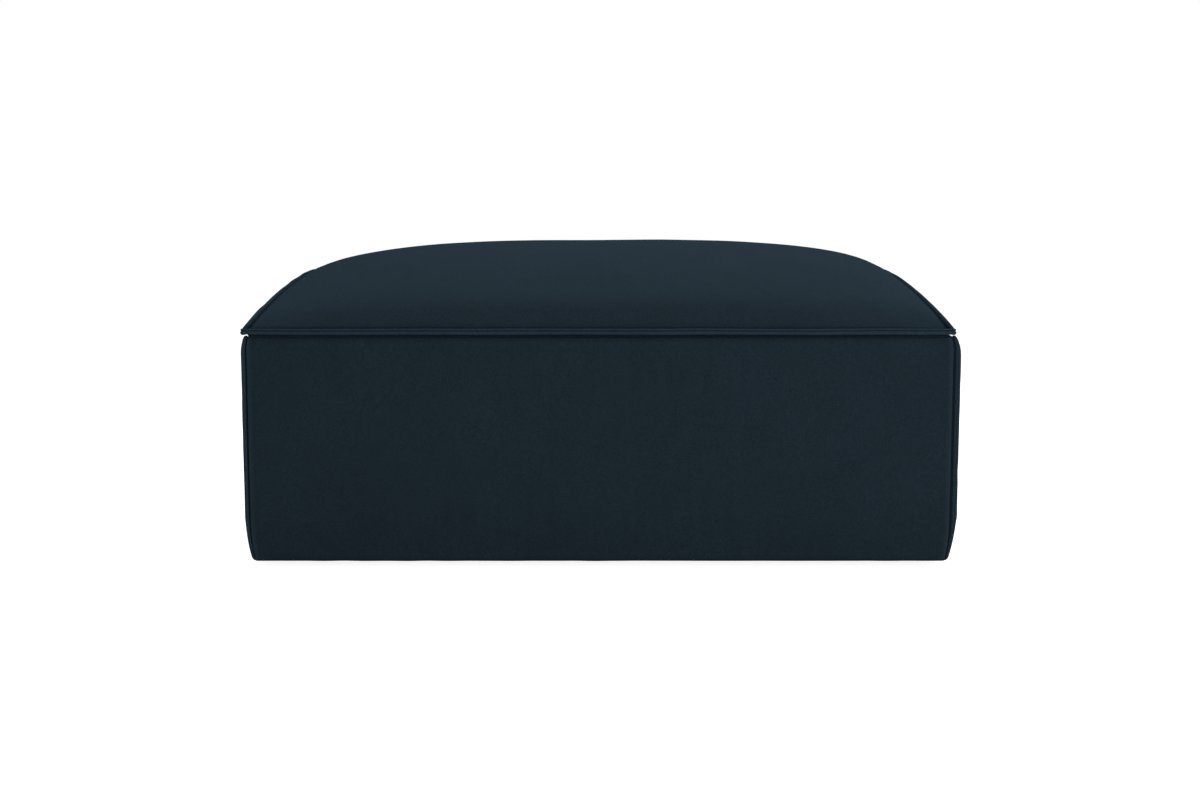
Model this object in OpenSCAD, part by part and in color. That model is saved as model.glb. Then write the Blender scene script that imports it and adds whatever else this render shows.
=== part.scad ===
// Upholstered footstool: a padded pine frame with a deck of zigzag springs, covered in velvet,
// and on it a loose, crowned seat cushion with flanged seams and a concealed zip.
// Millimetres, +Z up, the front faces -Y, the origin is on the floor under the middle of the base.

/* [Base] */
// Width of the base between its left and right corner seams
base_w = 1004; // [800:2:1200]
// Depth of the base between its front and rear corner seams
base_d = 810; // [640:10:1000]
// Height of the deck, on which the cushion lies, above the floor
deck_h = 332; // [280:2:400]
// Swell of the left and right sides past the corner seams
side_crown = 13; // [4:1:20]
// Swell of the front and rear past the corner seams
front_crown = 7; // [4:1:12]
// Share of a panel's swell that is left at its top and bottom edges
crown_hold = 0.25; // [0:0.05:0.5]
// How far the covers draw in at the deck's edge
top_draw = 3.5; // [2:0.5:8]
// Height over which the covers draw in below the deck's edge
top_round = 22; // [16:1:45]
// How far the covers draw in at the bottom edge
hem_draw = 5; // [3:0.5:10]
// Height over which the covers draw in above the bottom edge
hem_round = 65; // [40:1:90]
// Radius of the fold at the bottom edge
hem_fold_r = 4; // [3:0.5:6]
// How far the flange of a corner seam stands out along the corner's diagonal
corner_flange_w = 8; // [5:0.5:12]
// Thickness of the flange of a corner seam
corner_flange_t = 5; // [4:0.5:6]
// Height over which a corner flange narrows towards the deck
flange_taper = 16; // [8:1:20]

/* [Cushion] */
// How far the cushion's side seams lie inside the base's corner seams
cushion_set_x = 7; // [3:0.5:20]
// How far the cushion's front and rear seams lie inside the base's corner seams
cushion_set_y = 0; // [0:0.5:15]
// Rise of the cushion's crown over its bottom seam
crown_h = 117; // [90:1:150]
// Slope of the crown where it rises from the front and rear seams, in degrees
crown_slope = 47; // [35:1:60]
// Share of the crown's height by which its flatter top has fallen at the front and rear seams
crown_fall = 0.78; // [0.6:0.01:0.9]
// Rise of the arched end seams over the bottom seam
arch_h = 64; // [45:1:80]
// How far the top of an arched end seam leans in
arch_lean = 28; // [10:1:45]
// Swell of the end panels
end_bulge = 11; // [4:1:16]
// Height of the bottom seam over the cushion's underside
border_h = 8.7; // [8.5:0.1:16]
// Width of the flange along the bottom seam
flange_w = 10; // [7:0.5:14]
// Width of the flange along an arched seam
arch_flange_w = 7; // [5:0.5:9]
// Thickness of the upper lip of the bottom seam's flange
upper_lip_t = 4; // [3:0.1:5]
// Thickness of the lower lip of the bottom seam's flange
lower_lip_t = 5.8; // [4:0.1:8]
// Thickness of the flange along an arched seam
arch_flange_t = 5; // [4:0.5:6]
// Thickness of the wadding over the foam core
wadding_t = 10; // [6:1:16]
// Thickness of the wadding under the foam core
under_wadding_t = 3.5; // [3.4:0.1:5]

/* [Covers and padding] */
// Thickness of the velvet with its backing
cover_t = 1.6; // [1:0.1:2]
// Thickness of the deck's cloth
deck_t = 1.5; // [1:0.1:2]
// Width of the velvet border round the deck
deck_border_w = 70; // [40:5:120]
// Thickness of the foam pads on the sides, at the corners
pad_t = 20; // [14:1:30]
// Thickness of the foam on the deck
deck_foam_t = 12; // [8:1:20]
// Thickness of the felt over the springs
felt_t = 3; // [2:0.5:5]
// Width of the hem under the bottom rails, past the padding
hem_w = 18; // [12:1:22]
// Thickness of the dust cover
dust_t = 0.8; // [0.6:0.1:1.2]

/* [Frame] */
// Thickness of a rail
rail_t = 25; // [24:1:30]
// Height of a rail
rail_h = 60; // [45:1:70]
// Side of a square corner post
post_t = 45; // [30:1:60]
// Width of a stud
stud_w = 45; // [30:1:60]
// Thickness of the boards that close the sides
board_t = 3; // [2:0.5:5]
// Width of the strips on the top rails
strip_w = 10; // [9:0.5:10]
// Leg of a triangular corner block
block_leg = 150; // [120:5:180]

/* [Springs] */
// Diameter of the spring wire
wire_d = 3.8; // [3:0.1:4]
// Overall width of one zigzag spring
spring_w = 50; // [44:1:56]
// Distance between neighbouring springs
spring_gap = 160; // [120:5:180]
// Distance between the bars of a spring, aimed at
bar_gap = 28; // [22:1:32]
// Rise of a spring's middle over its ends
spring_rise = 12; // [6:1:20]
// Diameter of the tie wires
tie_d = 2.5; // [2:0.1:3]
// Thickness of the clip metal
clip_t = 1.2; // [0.8:0.1:1.5]
// Width of a clip
clip_w = 18; // [14:1:20]

/* [Zip] */
// Length of the zip
zip_l = 780; // [500:10:780]
// Distance of the zip from the cushion's rear seam
zip_inset = 45; // [30:1:80]
// Width of one tape
tape_w = 13; // [11:1:16]
// Thickness of a tape
tape_t = 0.8; // [0.6:0.1:0.9]
// Width of one row of teeth
row_w = 2.4; // [2:0.1:3]
// Thickness of a row of teeth
row_t = 2.2; // [1.8:0.1:2.2]
// Width of the slit between the rows
slit_w = 1.8; // [1.6:0.1:2.4]
// Width of the opening in the bottom panel
zip_mouth = 20; // [16:1:22]
// Distance of the teeth's ends from the tapes' ends
zip_end = 6; // [4:1:10]
// Distance of the slider from the teeth's ends where it stops
zip_stop = 8; // [6:1:20]
// Length of the slider
slider_l = 12; // [9:0.5:16]
// Thickness of the slider's plates
slider_t = 0.8; // [0.6:0.1:0.8]

/* [Glides] */
// Height of a glide
glide_h = 9; // [8:1:20]
// Diameter of a glide
glide_d = 50; // [30:1:56]
// Radius of the rounding under a glide's rim
glide_rim_r = 3; // [2:0.5:4]
// Distance of a glide's centre from the frame's outer faces
glide_inset = 65; // [60:1:70]
// Diameter of a glide's screw
screw_d = 4; // [3:0.5:5]
// Length of a glide's screw
screw_l = 35; // [25:1:50]

/* [Hidden] */
$fn = 48;

// Clearance between soft pieces that lie on each other
lay = 0.3;
// Clearance round a wire or a screw
snug = 0.1;

// Half sizes of the base: at the corner seams, and at the frame's outer faces
half_w = base_w / 2;
half_d = base_d / 2;
frame_x = half_w - cover_t - lay - pad_t - board_t;
frame_y = half_d - cover_t - lay - pad_t - board_t;

// Heights, from the floor up to the rails and from the deck down to them
hem_z = glide_h + dust_t;
rail_z = hem_z + cover_t + lay;
cover_top = deck_h - deck_t - lay;
foam_z = cover_top - deck_foam_t;
felt_z = foam_z - lay - felt_t;
bar_top = felt_z - lay;
wire_end_z = bar_top - wire_d / 2 - spring_rise;
rail_top = wire_end_z - wire_d / 2 - snug - clip_t;
stud_h = rail_top - rail_z - 2 * rail_h;

// Springs: the end bars sit in clips on the inner part of the top rails
clip_r = wire_d / 2 + snug;
end_bar_y = frame_y - strip_w - lay - clip_r - clip_t;
bars = 2 * round(end_bar_y / bar_gap) + 1;
spring_n = floor(2 * (frame_x - rail_t - spring_w / 2) / spring_gap) + 1;
first_spring = -spring_gap * (spring_n - 1) / 2;

// Cushion: half sizes at its bottom seam, and its heights
seat_w = half_w - cushion_set_x;
seat_d = half_d - cushion_set_y;
under_z = deck_h + lay;
seam_z = under_z + border_h;
under_wadding_z = under_z + cover_t + lay;
core_z = under_wadding_z + under_wadding_t + lay;

// Zip: it lies in the underside panel's opening, just over the deck
zip_y = seat_d - zip_inset;
teeth_z = under_z + slider_t + lay;
tape_z = under_z + cover_t + lay;
slider_h = row_t + 2 * (slider_t + lay);
slider_w = 2 * row_w + slit_w + 2 * lay + 2 * slider_t;
teeth_l = zip_l - 2 * zip_end;
zip_travel = teeth_l - slider_l - 2 * zip_stop;

// Counts of the grids' cells
panel_cells = 8;
seat_cells = [22, 20];
inner_cells = [16, 14];

VELVET = [0.13, 0.18, 0.21];
LINING = [0.10, 0.11, 0.12];
PINE = [0.82, 0.66, 0.44];
BOARD = [0.50, 0.36, 0.24];
STEEL = [0.62, 0.63, 0.65];
FOAM = [0.93, 0.89, 0.74];
WADDING = [0.95, 0.95, 0.94];
FELT = [0.52, 0.51, 0.49];
PLASTIC = [0.08, 0.08, 0.09];

// Evenly turned steps from -1 to 1, which lie closer at the ends
function spread(n) = [for (i = [0 : n]) -cos(180 * i / n)];

// A bow that is 1 in the middle and 0 at -1 and 1; p rounds its shoulders and q its feet
function bow(a, p, q) = pow(max(0, 1 - pow(abs(a), p)), 1 / q);

// Triangles of a grid's cells, first row at index s, turned over if flip is true
function grid_faces(rows, cols, s, flip) = [
  for (r = [0 : rows - 2], c = [0 : cols - 2])
    let (a = s + r * cols + c, b = a + 1, d = a + cols, e = d + 1)
      each flip ? [[a, b, e], [a, e, d]] : [[a, e, b], [a, d, e]]
];

// Indices round a grid's rim
function rim(rows, cols) = concat(
  [for (c = [0 : cols - 1]) c],
  [for (r = [1 : rows - 1]) r * cols + cols - 1],
  [for (c = [cols - 2 : -1 : 0]) (rows - 1) * cols + c],
  [for (r = [rows - 2 : -1 : 1]) r * cols]
);

// A thin solid between two grids of the same size; flip turns its faces over
module skin(outer, inner, flip = false) {
  rows = len(outer);
  cols = len(outer[0]);
  n = rows * cols;
  edge = rim(rows, cols);
  m = len(edge);
  wall = [
    for (i = [0 : m - 1])
      let (a = edge[i], b = edge[(i + 1) % m])
        each flip ? [[a, n + b, b], [a, n + a, n + b]] : [[a, b, n + b], [a, n + b, n + a]]
  ];
  polyhedron(
    points = concat([for (row = outer) each row], [for (row = inner) each row]),
    faces = concat(grid_faces(rows, cols, 0, flip), grid_faces(rows, cols, n, !flip), wall),
    convexity = 4
  );
}

// A solid under a domed grid, closed by a flat fan at height z
module dome(grid, z) {
  rows = len(grid);
  cols = len(grid[0]);
  edge = rim(rows, cols);
  m = len(edge);
  n = rows * cols;
  polyhedron(
    points = concat([for (row = grid) each row], [[0, 0, z]]),
    faces = concat(
      grid_faces(rows, cols, 0, false),
      [for (i = [0 : m - 1]) [edge[i], edge[(i + 1) % m], n]]
    ),
    convexity = 4
  );
}

// A bar through the rings of points given; closed joins its last ring to its first
module loft(rings, closed = false) {
  n = len(rings);
  m = len(rings[0]);
  spans = closed ? n - 1 : n - 2;
  side = [
    for (r = [0 : spans], i = [0 : m - 1])
      let (a = r * m + i, b = r * m + (i + 1) % m,
           d = ((r + 1) % n) * m + i, e = ((r + 1) % n) * m + (i + 1) % m)
        each [[a, b, e], [a, e, d]]
  ];
  caps = closed ? [] : [[for (i = [m - 1 : -1 : 0]) i], [for (i = [0 : m - 1]) (n - 1) * m + i]];
  polyhedron(points = [for (r = rings) each r], faces = concat(side, caps), convexity = 4);
}

// How late a cover begins to draw in above the hem, and how square its swell is from top to bottom
hem_bend = 2.6;
swell_bend = 3;

// Base covers: how far a cover draws in at height z, and how much of its swell it has there
function draw_in(z) =
  z > deck_h - top_round
    ? top_draw * (1 - sqrt(max(0, 1 - pow((z - deck_h + top_round) / top_round, 2))))
    : z < hem_z + hem_round ? hem_draw * pow((hem_z + hem_round - z) / hem_round, hem_bend) : 0;
function swell_at(z) =
  1 - (1 - crown_hold) * pow(abs(2 * (z - hem_z) / (deck_h - hem_z) - 1), swell_bend);

// The outside of a cover from the deck's edge down to the hem's inner edge,
// as [distance out from the corner seams, height, share of the swell]
fold_z = hem_z + hem_fold_r;
hem_in = cover_t + lay + pad_t + board_t + hem_w;
side_zs = concat(
  [for (i = [0 : 3]) cover_top - (cover_top - deck_h + top_round) * (1 - cos(30 * i))],
  [(hem_z + deck_h) / 2],
  [for (i = [0 : 3]) fold_z + (hem_z + hem_round - fold_z) * (1 - i / 3)]
);
side_line = [for (z = side_zs) [-draw_in(z), z, swell_at(z)]];
fold_n = -draw_in(fold_z) - hem_fold_r;
fold_line = [
  for (a = [45, 90])
    [fold_n + hem_fold_r * cos(a), fold_z - hem_fold_r * sin(a), swell_at(hem_z) * cos(a)]
];
outside_line = concat(side_line, fold_line, [[-hem_in, hem_z, 0]]);

// The same line, moved in by t: level on the sides, and round the fold down to the hem
inside_side = [for (p = side_line) [p[0] - cover_t, p[1], p[2]]];
inner_r = hem_fold_r - cover_t;
inside_fold = [
  for (a = [45, 90])
    [fold_n + inner_r * cos(a), fold_z - inner_r * sin(a), swell_at(hem_z) * cos(a)]
];
inside_line = concat(inside_side, inside_fold, [[-hem_in, hem_z + cover_t, 0]]);

// A point of a cover on the side whose seams lie half_len apart from its middle and reach out by reach
function panel_pt(u, p, half_len, reach, crown) =
  [u * (half_len + p[0] - lay / 2), -(reach + p[0] + crown * p[2] * bow(u, 4, 1)), p[1]];

function panel_grid(line, half_len, reach, crown) =
  [for (p = line) [for (u = spread(panel_cells)) panel_pt(u, p, half_len, reach, crown)]];

module cover(half_len, reach, crown) {
  color(VELVET)
    skin(
      panel_grid(outside_line, half_len, reach, crown),
      panel_grid(inside_line, half_len, reach, crown), true
    );
}

// Foam between a board and its cover, on the cover's own rows down to the fold
pad_side = [for (p = inside_side) [p[0] - lay, min(p[1], cover_top - lay), p[2]]];
pad_face = concat(pad_side, [[fold_n - lay, rail_z, 0]]);
pad_back = [for (p = pad_face) [-cover_t - lay - pad_t, p[1], 0]];

module pad(half_len, reach, crown) {
  color(FOAM)
    skin(
      panel_grid(pad_face, half_len, reach, crown),
      panel_grid(pad_back, half_len, reach, crown), true
    );
}

module front_cover() cover(half_w, half_d, front_crown);
module rear_cover() rotate(180) cover(half_w, half_d, front_crown);
module left_cover() rotate(-90) cover(half_d, half_w, side_crown);
module right_cover() rotate(90) cover(half_d, half_w, side_crown);

module front_pad() pad(half_w, half_d, front_crown);
module rear_pad() rotate(180) pad(half_w, half_d, front_crown);
module left_pad() rotate(-90) pad(half_d, half_w, side_crown);
module right_pad() rotate(90) pad(half_d, half_w, side_crown);

// Section of a flange: two lips with a groove between them, as [outward, across]; root is its inner end
function lips(w, t, root) = [
  [root, -t * 0.42], [w * 0.78, -t * 0.5], [w, -t * 0.36], [w * 0.98, -t * 0.16], [w * 0.6, 0],
  [w * 0.98, t * 0.16], [w, t * 0.36], [w * 0.78, t * 0.5], [root, t * 0.42]
];

// Flange of a corner seam: the shares of its width that are left at the hem and at the deck,
// how late it narrows towards the deck, and the heights of its rings
hem_share = 0.55;
deck_share = 0.1;
deck_bend = 0.8;
flange_zs = concat(
  [for (i = [0 : 3]) cover_top - (cover_top - deck_h + top_round) * (1 - cos(30 * i))],
  [for (i = [0 : 4]) hem_z + cover_t + (hem_round - cover_t) * pow(1 - i / 4, 1.4)]
);
function flange_share(z) = min(
  hem_share + (1 - hem_share) * min(1, (z - hem_z) / hem_round),
  deck_share + (1 - deck_share) * pow(min(1, (cover_top - z) / flange_taper), deck_bend)
);

module corner_flange() {
  color(VELVET)
    loft([
      for (z = flange_zs)
        let (x = half_w - draw_in(z), y = half_d - draw_in(z))
          [for (p = lips(corner_flange_w * flange_share(z), corner_flange_t, lay))
            [x + (p[0] - p[1]) * sqrt(0.5), y + (p[0] + p[1]) * sqrt(0.5), z]]
    ]);
}

module rear_right_flange() corner_flange();
module front_left_flange() rotate(180) corner_flange();
module rear_left_flange() mirror([1, 0, 0]) corner_flange();
module front_right_flange() mirror([0, 1, 0]) corner_flange();

// Outline of the deck, which follows the covers' top edges
deck_edge = [-draw_in(cover_top), deck_h, swell_at(cover_top)];
function side_edge(half_len, reach, crown, turn) = [
  for (u = spread(panel_cells))
    let (p = panel_pt(u, deck_edge, half_len, reach, crown))
      [p[0] * cos(turn) - p[1] * sin(turn), p[0] * sin(turn) + p[1] * cos(turn)]
];
deck_outline = concat(
  side_edge(half_w, half_d, front_crown, 0), side_edge(half_d, half_w, side_crown, 90),
  side_edge(half_w, half_d, front_crown, 180), side_edge(half_d, half_w, side_crown, 270)
);

// Half sizes of the opening in the deck's border, which the deck cloth fills
cloth_x = half_w - deck_border_w;
cloth_y = half_d - deck_border_w;

module deck_border() {
  color(VELVET)
    translate([0, 0, deck_h - deck_t])
      linear_extrude(deck_t)
        difference() {
          polygon(deck_outline);
          square([2 * cloth_x, 2 * cloth_y], center = true);
        }
}

module deck_cloth() {
  color(LINING)
    translate([0, 0, deck_h - deck_t])
      linear_extrude(deck_t)
        square([2 * (cloth_x - lay), 2 * (cloth_y - lay)], center = true);
}

module deck_foam() {
  x = frame_x + board_t - lay;
  y = frame_y + board_t - lay;
  color(FOAM)
    translate([-x, -y, foam_z])
      cube([2 * x, 2 * y, deck_foam_t - lay]);
}

// Frame: the front and rear rails run through, and the side rails stand between them
module long_rail(z) {
  color(PINE)
    translate([-frame_x, -frame_y, z])
      cube([2 * frame_x, rail_t, rail_h]);
}

module side_rail(z) {
  color(PINE)
    translate([-frame_x, rail_t - frame_y, z])
      cube([rail_t, 2 * (frame_y - rail_t), rail_h]);
}

module front_bottom_rail() long_rail(rail_z);
module rear_bottom_rail() rotate(180) long_rail(rail_z);
module left_bottom_rail() side_rail(rail_z);
module right_bottom_rail() rotate(180) side_rail(rail_z);
module front_top_rail() long_rail(rail_top - rail_h);
module rear_top_rail() rotate(180) long_rail(rail_top - rail_h);
module left_top_rail() side_rail(rail_top - rail_h);
module right_top_rail() rotate(180) side_rail(rail_top - rail_h);

module corner_posts() {
  color(PINE)
    for (sx = [-1, 1], sy = [-1, 1])
      translate([sx * (frame_x - post_t / 2), sy * (frame_y - post_t / 2), rail_z + rail_h + stud_h / 2])
        cube([post_t, post_t, stud_h], center = true);
}

module studs() {
  z = rail_z + rail_h + stud_h / 2;
  color(PINE) {
    for (sx = [-1, 1], sy = [-1, 1])
      translate([sx * frame_x / 3, sy * (frame_y - rail_t / 2), z])
        cube([stud_w, rail_t, stud_h], center = true);
    for (sx = [-1, 1])
      translate([sx * (frame_x - rail_t / 2), 0, z])
        cube([rail_t, stud_w, stud_h], center = true);
  }
}

module centre_stretcher() {
  color(PINE)
    translate([-rail_t / 2, rail_t - frame_y, rail_z])
      cube([rail_t, 2 * (frame_y - rail_t), rail_h]);
}

// Glides and their screws: where they stand, the screws' heads, and how deep the heads are sunk
glide_x = frame_x - glide_inset;
glide_y = frame_y - glide_inset;
head_r = screw_d;
head_h = screw_d * 0.6;
head_z = 2;

module corner_blocks() {
  x = frame_x - rail_t;
  y = frame_y - rail_t;
  color(PINE)
    for (sx = [0, 1], sy = [0, 1])
      mirror([sx, 0, 0])
        mirror([0, sy, 0])
          difference() {
            translate([0, 0, hem_z])
              linear_extrude(rail_z + rail_h - hem_z)
                polygon([[x, y], [x - block_leg, y], [x, y - block_leg]]);
            translate([glide_x, glide_y, hem_z - 1])
              cylinder(d = screw_d + 2 * snug, h = screw_l - hem_z + head_z + 2);
          }
}

module edge_strips() {
  h = felt_z + felt_t - rail_top;
  color(PINE)
    for (turn = [0, 180])
      rotate(turn) {
        translate([-frame_x, -frame_y, rail_top])
          cube([2 * frame_x, strip_w, h]);
        translate([-frame_x, strip_w - frame_y, rail_top])
          cube([strip_w, 2 * (frame_y - strip_w), h]);
      }
}

// The front and rear boards cover the ends of the side boards
module long_board() {
  color(BOARD)
    translate([-frame_x - board_t, -frame_y - board_t, rail_z])
      cube([2 * (frame_x + board_t), board_t, felt_z + felt_t - rail_z]);
}

module side_board() {
  color(BOARD)
    translate([-frame_x - board_t, -frame_y, rail_z])
      cube([board_t, 2 * frame_y, felt_z + felt_t - rail_z]);
}

module front_board() long_board();
module rear_board() rotate(180) long_board();
module left_board() side_board();
module right_board() rotate(180) side_board();

// Springs: bars along X that climb a low arch, joined by half turns on alternate sides
function bar_y(i) = end_bar_y * (2 * i / (bars - 1) - 1);
function bar_z(i) = wire_end_z + spring_rise * (1 - pow(2 * i / (bars - 1) - 1, 2));
function bar_side(i) = i % 2 == 0 ? 1 : -1;
bar_pitch = 2 * end_bar_y / (bars - 1);
bar_l = spring_w - wire_d - bar_pitch;
wire_sides = 6;
bend_steps = 3;

// A ring of the wire round point p, which u and v span
function wire_ring(p, u, v) =
  [for (k = [0 : wire_sides - 1])
    let (a = 360 * k / wire_sides) p + wire_d / 2 * (cos(a) * u + sin(a) * v)];

// The ring at a degrees of the half turn from bar i to the next one
function bend_ring(x, i, a) =
  let (s = bar_side(i), lift = atan2(bar_z(i + 1) - bar_z(i), bar_pitch),
       r = bar_pitch / cos(lift) / 2,
       along = [0, cos(lift), sin(lift)], up = [0, -sin(lift), cos(lift)],
       out = [s * sin(a), 0, 0] - cos(a) * along,
       mid = [x + s * bar_l / 2, (bar_y(i) + bar_y(i + 1)) / 2, (bar_z(i) + bar_z(i + 1)) / 2])
    wire_ring(mid + r * out, s * out, up);

// The free end of the first or last bar
function end_ring(x, i, s) =
  wire_ring([x + s * bar_l / 2, bar_y(i), bar_z(i)], [0, i == 0 ? -1 : bar_side(bars), 0], [0, 0, 1]);

module spring(x) {
  loft(concat(
    [end_ring(x, 0, -bar_side(0))],
    [for (i = [0 : bars - 2], k = [0 : bend_steps]) bend_ring(x, i, 180 * k / bend_steps)],
    [end_ring(x, bars - 1, bar_side(bars - 1))]
  ));
}

module springs() {
  color(STEEL)
    for (k = [0 : spring_n - 1])
      spring(first_spring + k * spring_gap);
}

// A clip: a foot on the rail and an open loop round the end bar
module spring_clip() {
  foot = 4 * clip_t;
  mouth = clip_r + 2 * clip_t;
  rotate([90, 0, 90])
    translate([0, 0, -clip_w / 2])
      linear_extrude(clip_w)
        difference() {
          union() {
            translate([end_bar_y, wire_end_z])
              circle(r = clip_r + clip_t);
            translate([end_bar_y - foot, rail_top])
              square([foot, clip_t]);
          }
          translate([end_bar_y, wire_end_z])
            circle(r = clip_r);
          translate([end_bar_y - mouth, wire_end_z - clip_r / 2])
            square([mouth, clip_r]);
        }
}

module spring_clips() {
  color(STEEL)
    for (k = [0 : spring_n - 1], turn = [0, 180])
      rotate(turn)
        translate([first_spring + k * spring_gap, 0, 0])
          spring_clip();
}

// Tie wires under the springs, bent down to the side rails
tie_bar = round((bars - 1) / 3);
tie_z = bar_z(tie_bar) - wire_d / 2 - snug - tie_d / 2;
tie_x = frame_x - strip_w - tie_d;

// A ring of a tie wire at x and height z, on a plane turned by a about Y
function tie_ring(x, y, z, a) =
  [for (k = [0 : wire_sides - 1])
    let (c = 360 * k / wire_sides, r = tie_d / 2 / (a % 90 == 0 ? 1 : cos(45)))
      [x + r * cos(c) * sin(a), y + tie_d / 2 * sin(c), z + r * cos(c) * cos(a)]];

module spring_ties() {
  color(STEEL)
    for (sy = [-1, 1])
      let (y = sy * bar_y(tie_bar))
        loft([
          tie_ring(-tie_x, y, rail_top, -90), tie_ring(-tie_x, y, tie_z, -45),
          tie_ring(tie_x, y, tie_z, 45), tie_ring(tie_x, y, rail_top, 90)
        ]);
}

module spring_felt() {
  x = frame_x - strip_w - lay;
  y = frame_y - strip_w - lay;
  color(FELT)
    translate([-x, -y, felt_z])
      cube([2 * x, 2 * y, felt_t]);
}

module dust_cover() {
  x = frame_x - strip_w;
  y = frame_y - strip_w;
  color(LINING)
    translate([0, 0, glide_h])
      linear_extrude(dust_t)
        difference() {
          square([2 * x, 2 * y], center = true);
          for (sx = [-1, 1], sy = [-1, 1])
            translate([sx * glide_x, sy * glide_y])
              circle(d = screw_d + 2 * snug);
        }
}

// A glide is a low plastic foot with a rounded rim and a countersunk bore
module glide() {
  r = glide_d / 2;
  bore = screw_d / 2 + snug;
  rotate_extrude()
    difference() {
      union() {
        translate([0, glide_rim_r])
          square([r, glide_h - glide_rim_r]);
        square([r - glide_rim_r, glide_h]);
        translate([r - glide_rim_r, glide_rim_r])
          circle(r = glide_rim_r);
      }
      translate([-r, -1])
        square([r + bore, glide_h + 2]);
      polygon([
        [0, -1], [head_r + snug, -1], [head_r + snug, head_z],
        [bore, head_z + head_h], [0, head_z + head_h]
      ]);
    }
}

module glides() {
  color(PLASTIC)
    for (sx = [-1, 1], sy = [-1, 1])
      translate([sx * glide_x, sy * glide_y, 0])
        glide();
}

module glide_screws() {
  color(STEEL)
    for (sx = [-1, 1], sy = [-1, 1])
      translate([sx * glide_x, sy * glide_y, head_z])
        rotate_extrude()
          polygon([
            [0, 0], [head_r, 0], [screw_d / 2, head_h], [screw_d / 2, screw_l - screw_d],
            [0, screw_l]
          ]);
}

// Cushion: rise over the seam along the ends, and how the ends swell into the crown
function end_rise(v) = bow(v, 1.6, 1.4);
function swell_in(u) = bow(u, 2.8, 1.6);

// Rise along the middle: straight up from the seam, then over a soft edge onto a flatter top
edge_bend = 6;
function mid_rise(v) =
  let (foot = tan(crown_slope) * seat_d / crown_h * (1 - abs(v)), top = 1 - crown_fall * v * v)
    foot * pow(1 + pow(foot / top, edge_bend), -1 / edge_bend);

// A point of the top panel, moved in by t, on a layer whose foot is at height z
function top_pt(t, z, u, v) =
  let (k = swell_in(u), foot = seam_z - z - t, rise = arch_h + (crown_h - arch_h) * k + foot)
    [
      u * (seat_w - t - arch_lean * end_rise(v)), v * (seat_d - t),
      z + rise * (mid_rise(v) * k + end_rise(v) * (1 - k))
    ];

// A point of an end panel, w of the way from the bottom seam up to the arched seam on side s
function end_pt(t, z, s, v, w) =
  let (top = top_pt(t, z, s, v), foot = [s * (seat_w - t), top[1], z])
    foot + w * (top - foot) + [s * end_bulge * sin(180 * w) * end_rise(v), 0, 0];

function top_grid(t, z, cells) =
  [for (v = spread(cells[1])) [for (u = spread(cells[0])) top_pt(t, z, u, v)]];

// The top panel's grid, with the end panels' points added to both ends of each row
function whole_grid(t, z, cells) = [
  for (v = spread(cells[1]))
    concat(
      [for (w = [0, 0.5]) end_pt(t, z, -1, v, w)],
      [for (u = spread(cells[0])) top_pt(t, z, u, v)],
      [for (w = [0.5, 0]) end_pt(t, z, 1, v, w)]
    )
];

module cushion_top_cover() {
  color(VELVET)
    skin(top_grid(0, seam_z, seat_cells), top_grid(cover_t, seam_z, seat_cells));
}

// The end panels stop just short of the seams that they meet: at their tips, at the foot and at the arch
end_tip = 0.96;
end_foot = 0.004;
end_head = 0.98;
end_rows = 4;
end_vs = [for (v = spread(seat_cells[1])) v * end_tip];
end_ws = [for (i = [0 : end_rows]) end_foot + (end_head - end_foot) * i / end_rows];

module cushion_end(s) {
  color(VELVET)
    skin(
      [for (v = end_vs) [for (w = end_ws) end_pt(0, seam_z, s, v, w)]],
      [for (v = end_vs) [for (w = end_ws) end_pt(cover_t, seam_z, s, v, w)]],
      s > 0
    );
}

module cushion_left_end() cushion_end(-1);
module cushion_right_end() cushion_end(1);

wadding_in = cover_t + 2 * lay;
core_in = wadding_in + wadding_t + lay;

module cushion_wadding() {
  color(WADDING)
    skin(
      whole_grid(wadding_in, core_z, inner_cells),
      whole_grid(wadding_in + wadding_t, core_z, inner_cells)
    );
}

module cushion_core() {
  color(FOAM)
    dome(whole_grid(core_in, core_z, inner_cells), core_z);
}

// The opening over the zip, in the layers that lie on the cushion's underside
module zip_gap(w, l) {
  translate([0, zip_y])
    square([l, w], center = true);
}

module cushion_under_wadding() {
  color(WADDING)
    translate([0, 0, under_wadding_z])
      linear_extrude(under_wadding_t)
        difference() {
          square([2 * (seat_w - cover_t - lay), 2 * (seat_d - cover_t - lay)], center = true);
          zip_gap(2 * tape_w + slider_w, zip_l + 2 * lay);
        }
}

module cushion_bottom_cover() {
  color(VELVET)
    translate([0, 0, under_z]) {
      linear_extrude(cover_t)
        difference() {
          square([2 * seat_w, 2 * seat_d], center = true);
          zip_gap(zip_mouth, teeth_l + 2 * lay);
        }
      linear_extrude(border_h - lay)
        difference() {
          square([2 * seat_w, 2 * seat_d], center = true);
          square([2 * (seat_w - cover_t), 2 * (seat_d - cover_t)], center = true);
        }
    }
}

// Flange of the bottom seam: two lips with a groove between them, as [outward, up] from the seam
seam_lips = [
  [lay, -lower_lip_t * 0.9], [flange_w * 0.75, -lower_lip_t], [flange_w * 0.97, -lower_lip_t * 0.8],
  [flange_w, -lower_lip_t * 0.35], [flange_w * 0.86, -lower_lip_t * 0.08], [flange_w * 0.4, 0],
  [flange_w * 0.84, upper_lip_t * 0.12], [flange_w * 0.96, upper_lip_t * 0.35],
  [flange_w * 0.95, upper_lip_t * 0.75], [flange_w * 0.76, upper_lip_t], [lay, upper_lip_t * 0.95]
];

// Reach of a squared round in direction a, which keeps the flange's corners pointed
function square_reach(a) = 1 / pow(pow(abs(cos(a)), 6) + pow(abs(sin(a)), 6), 1 / 6);

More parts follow.
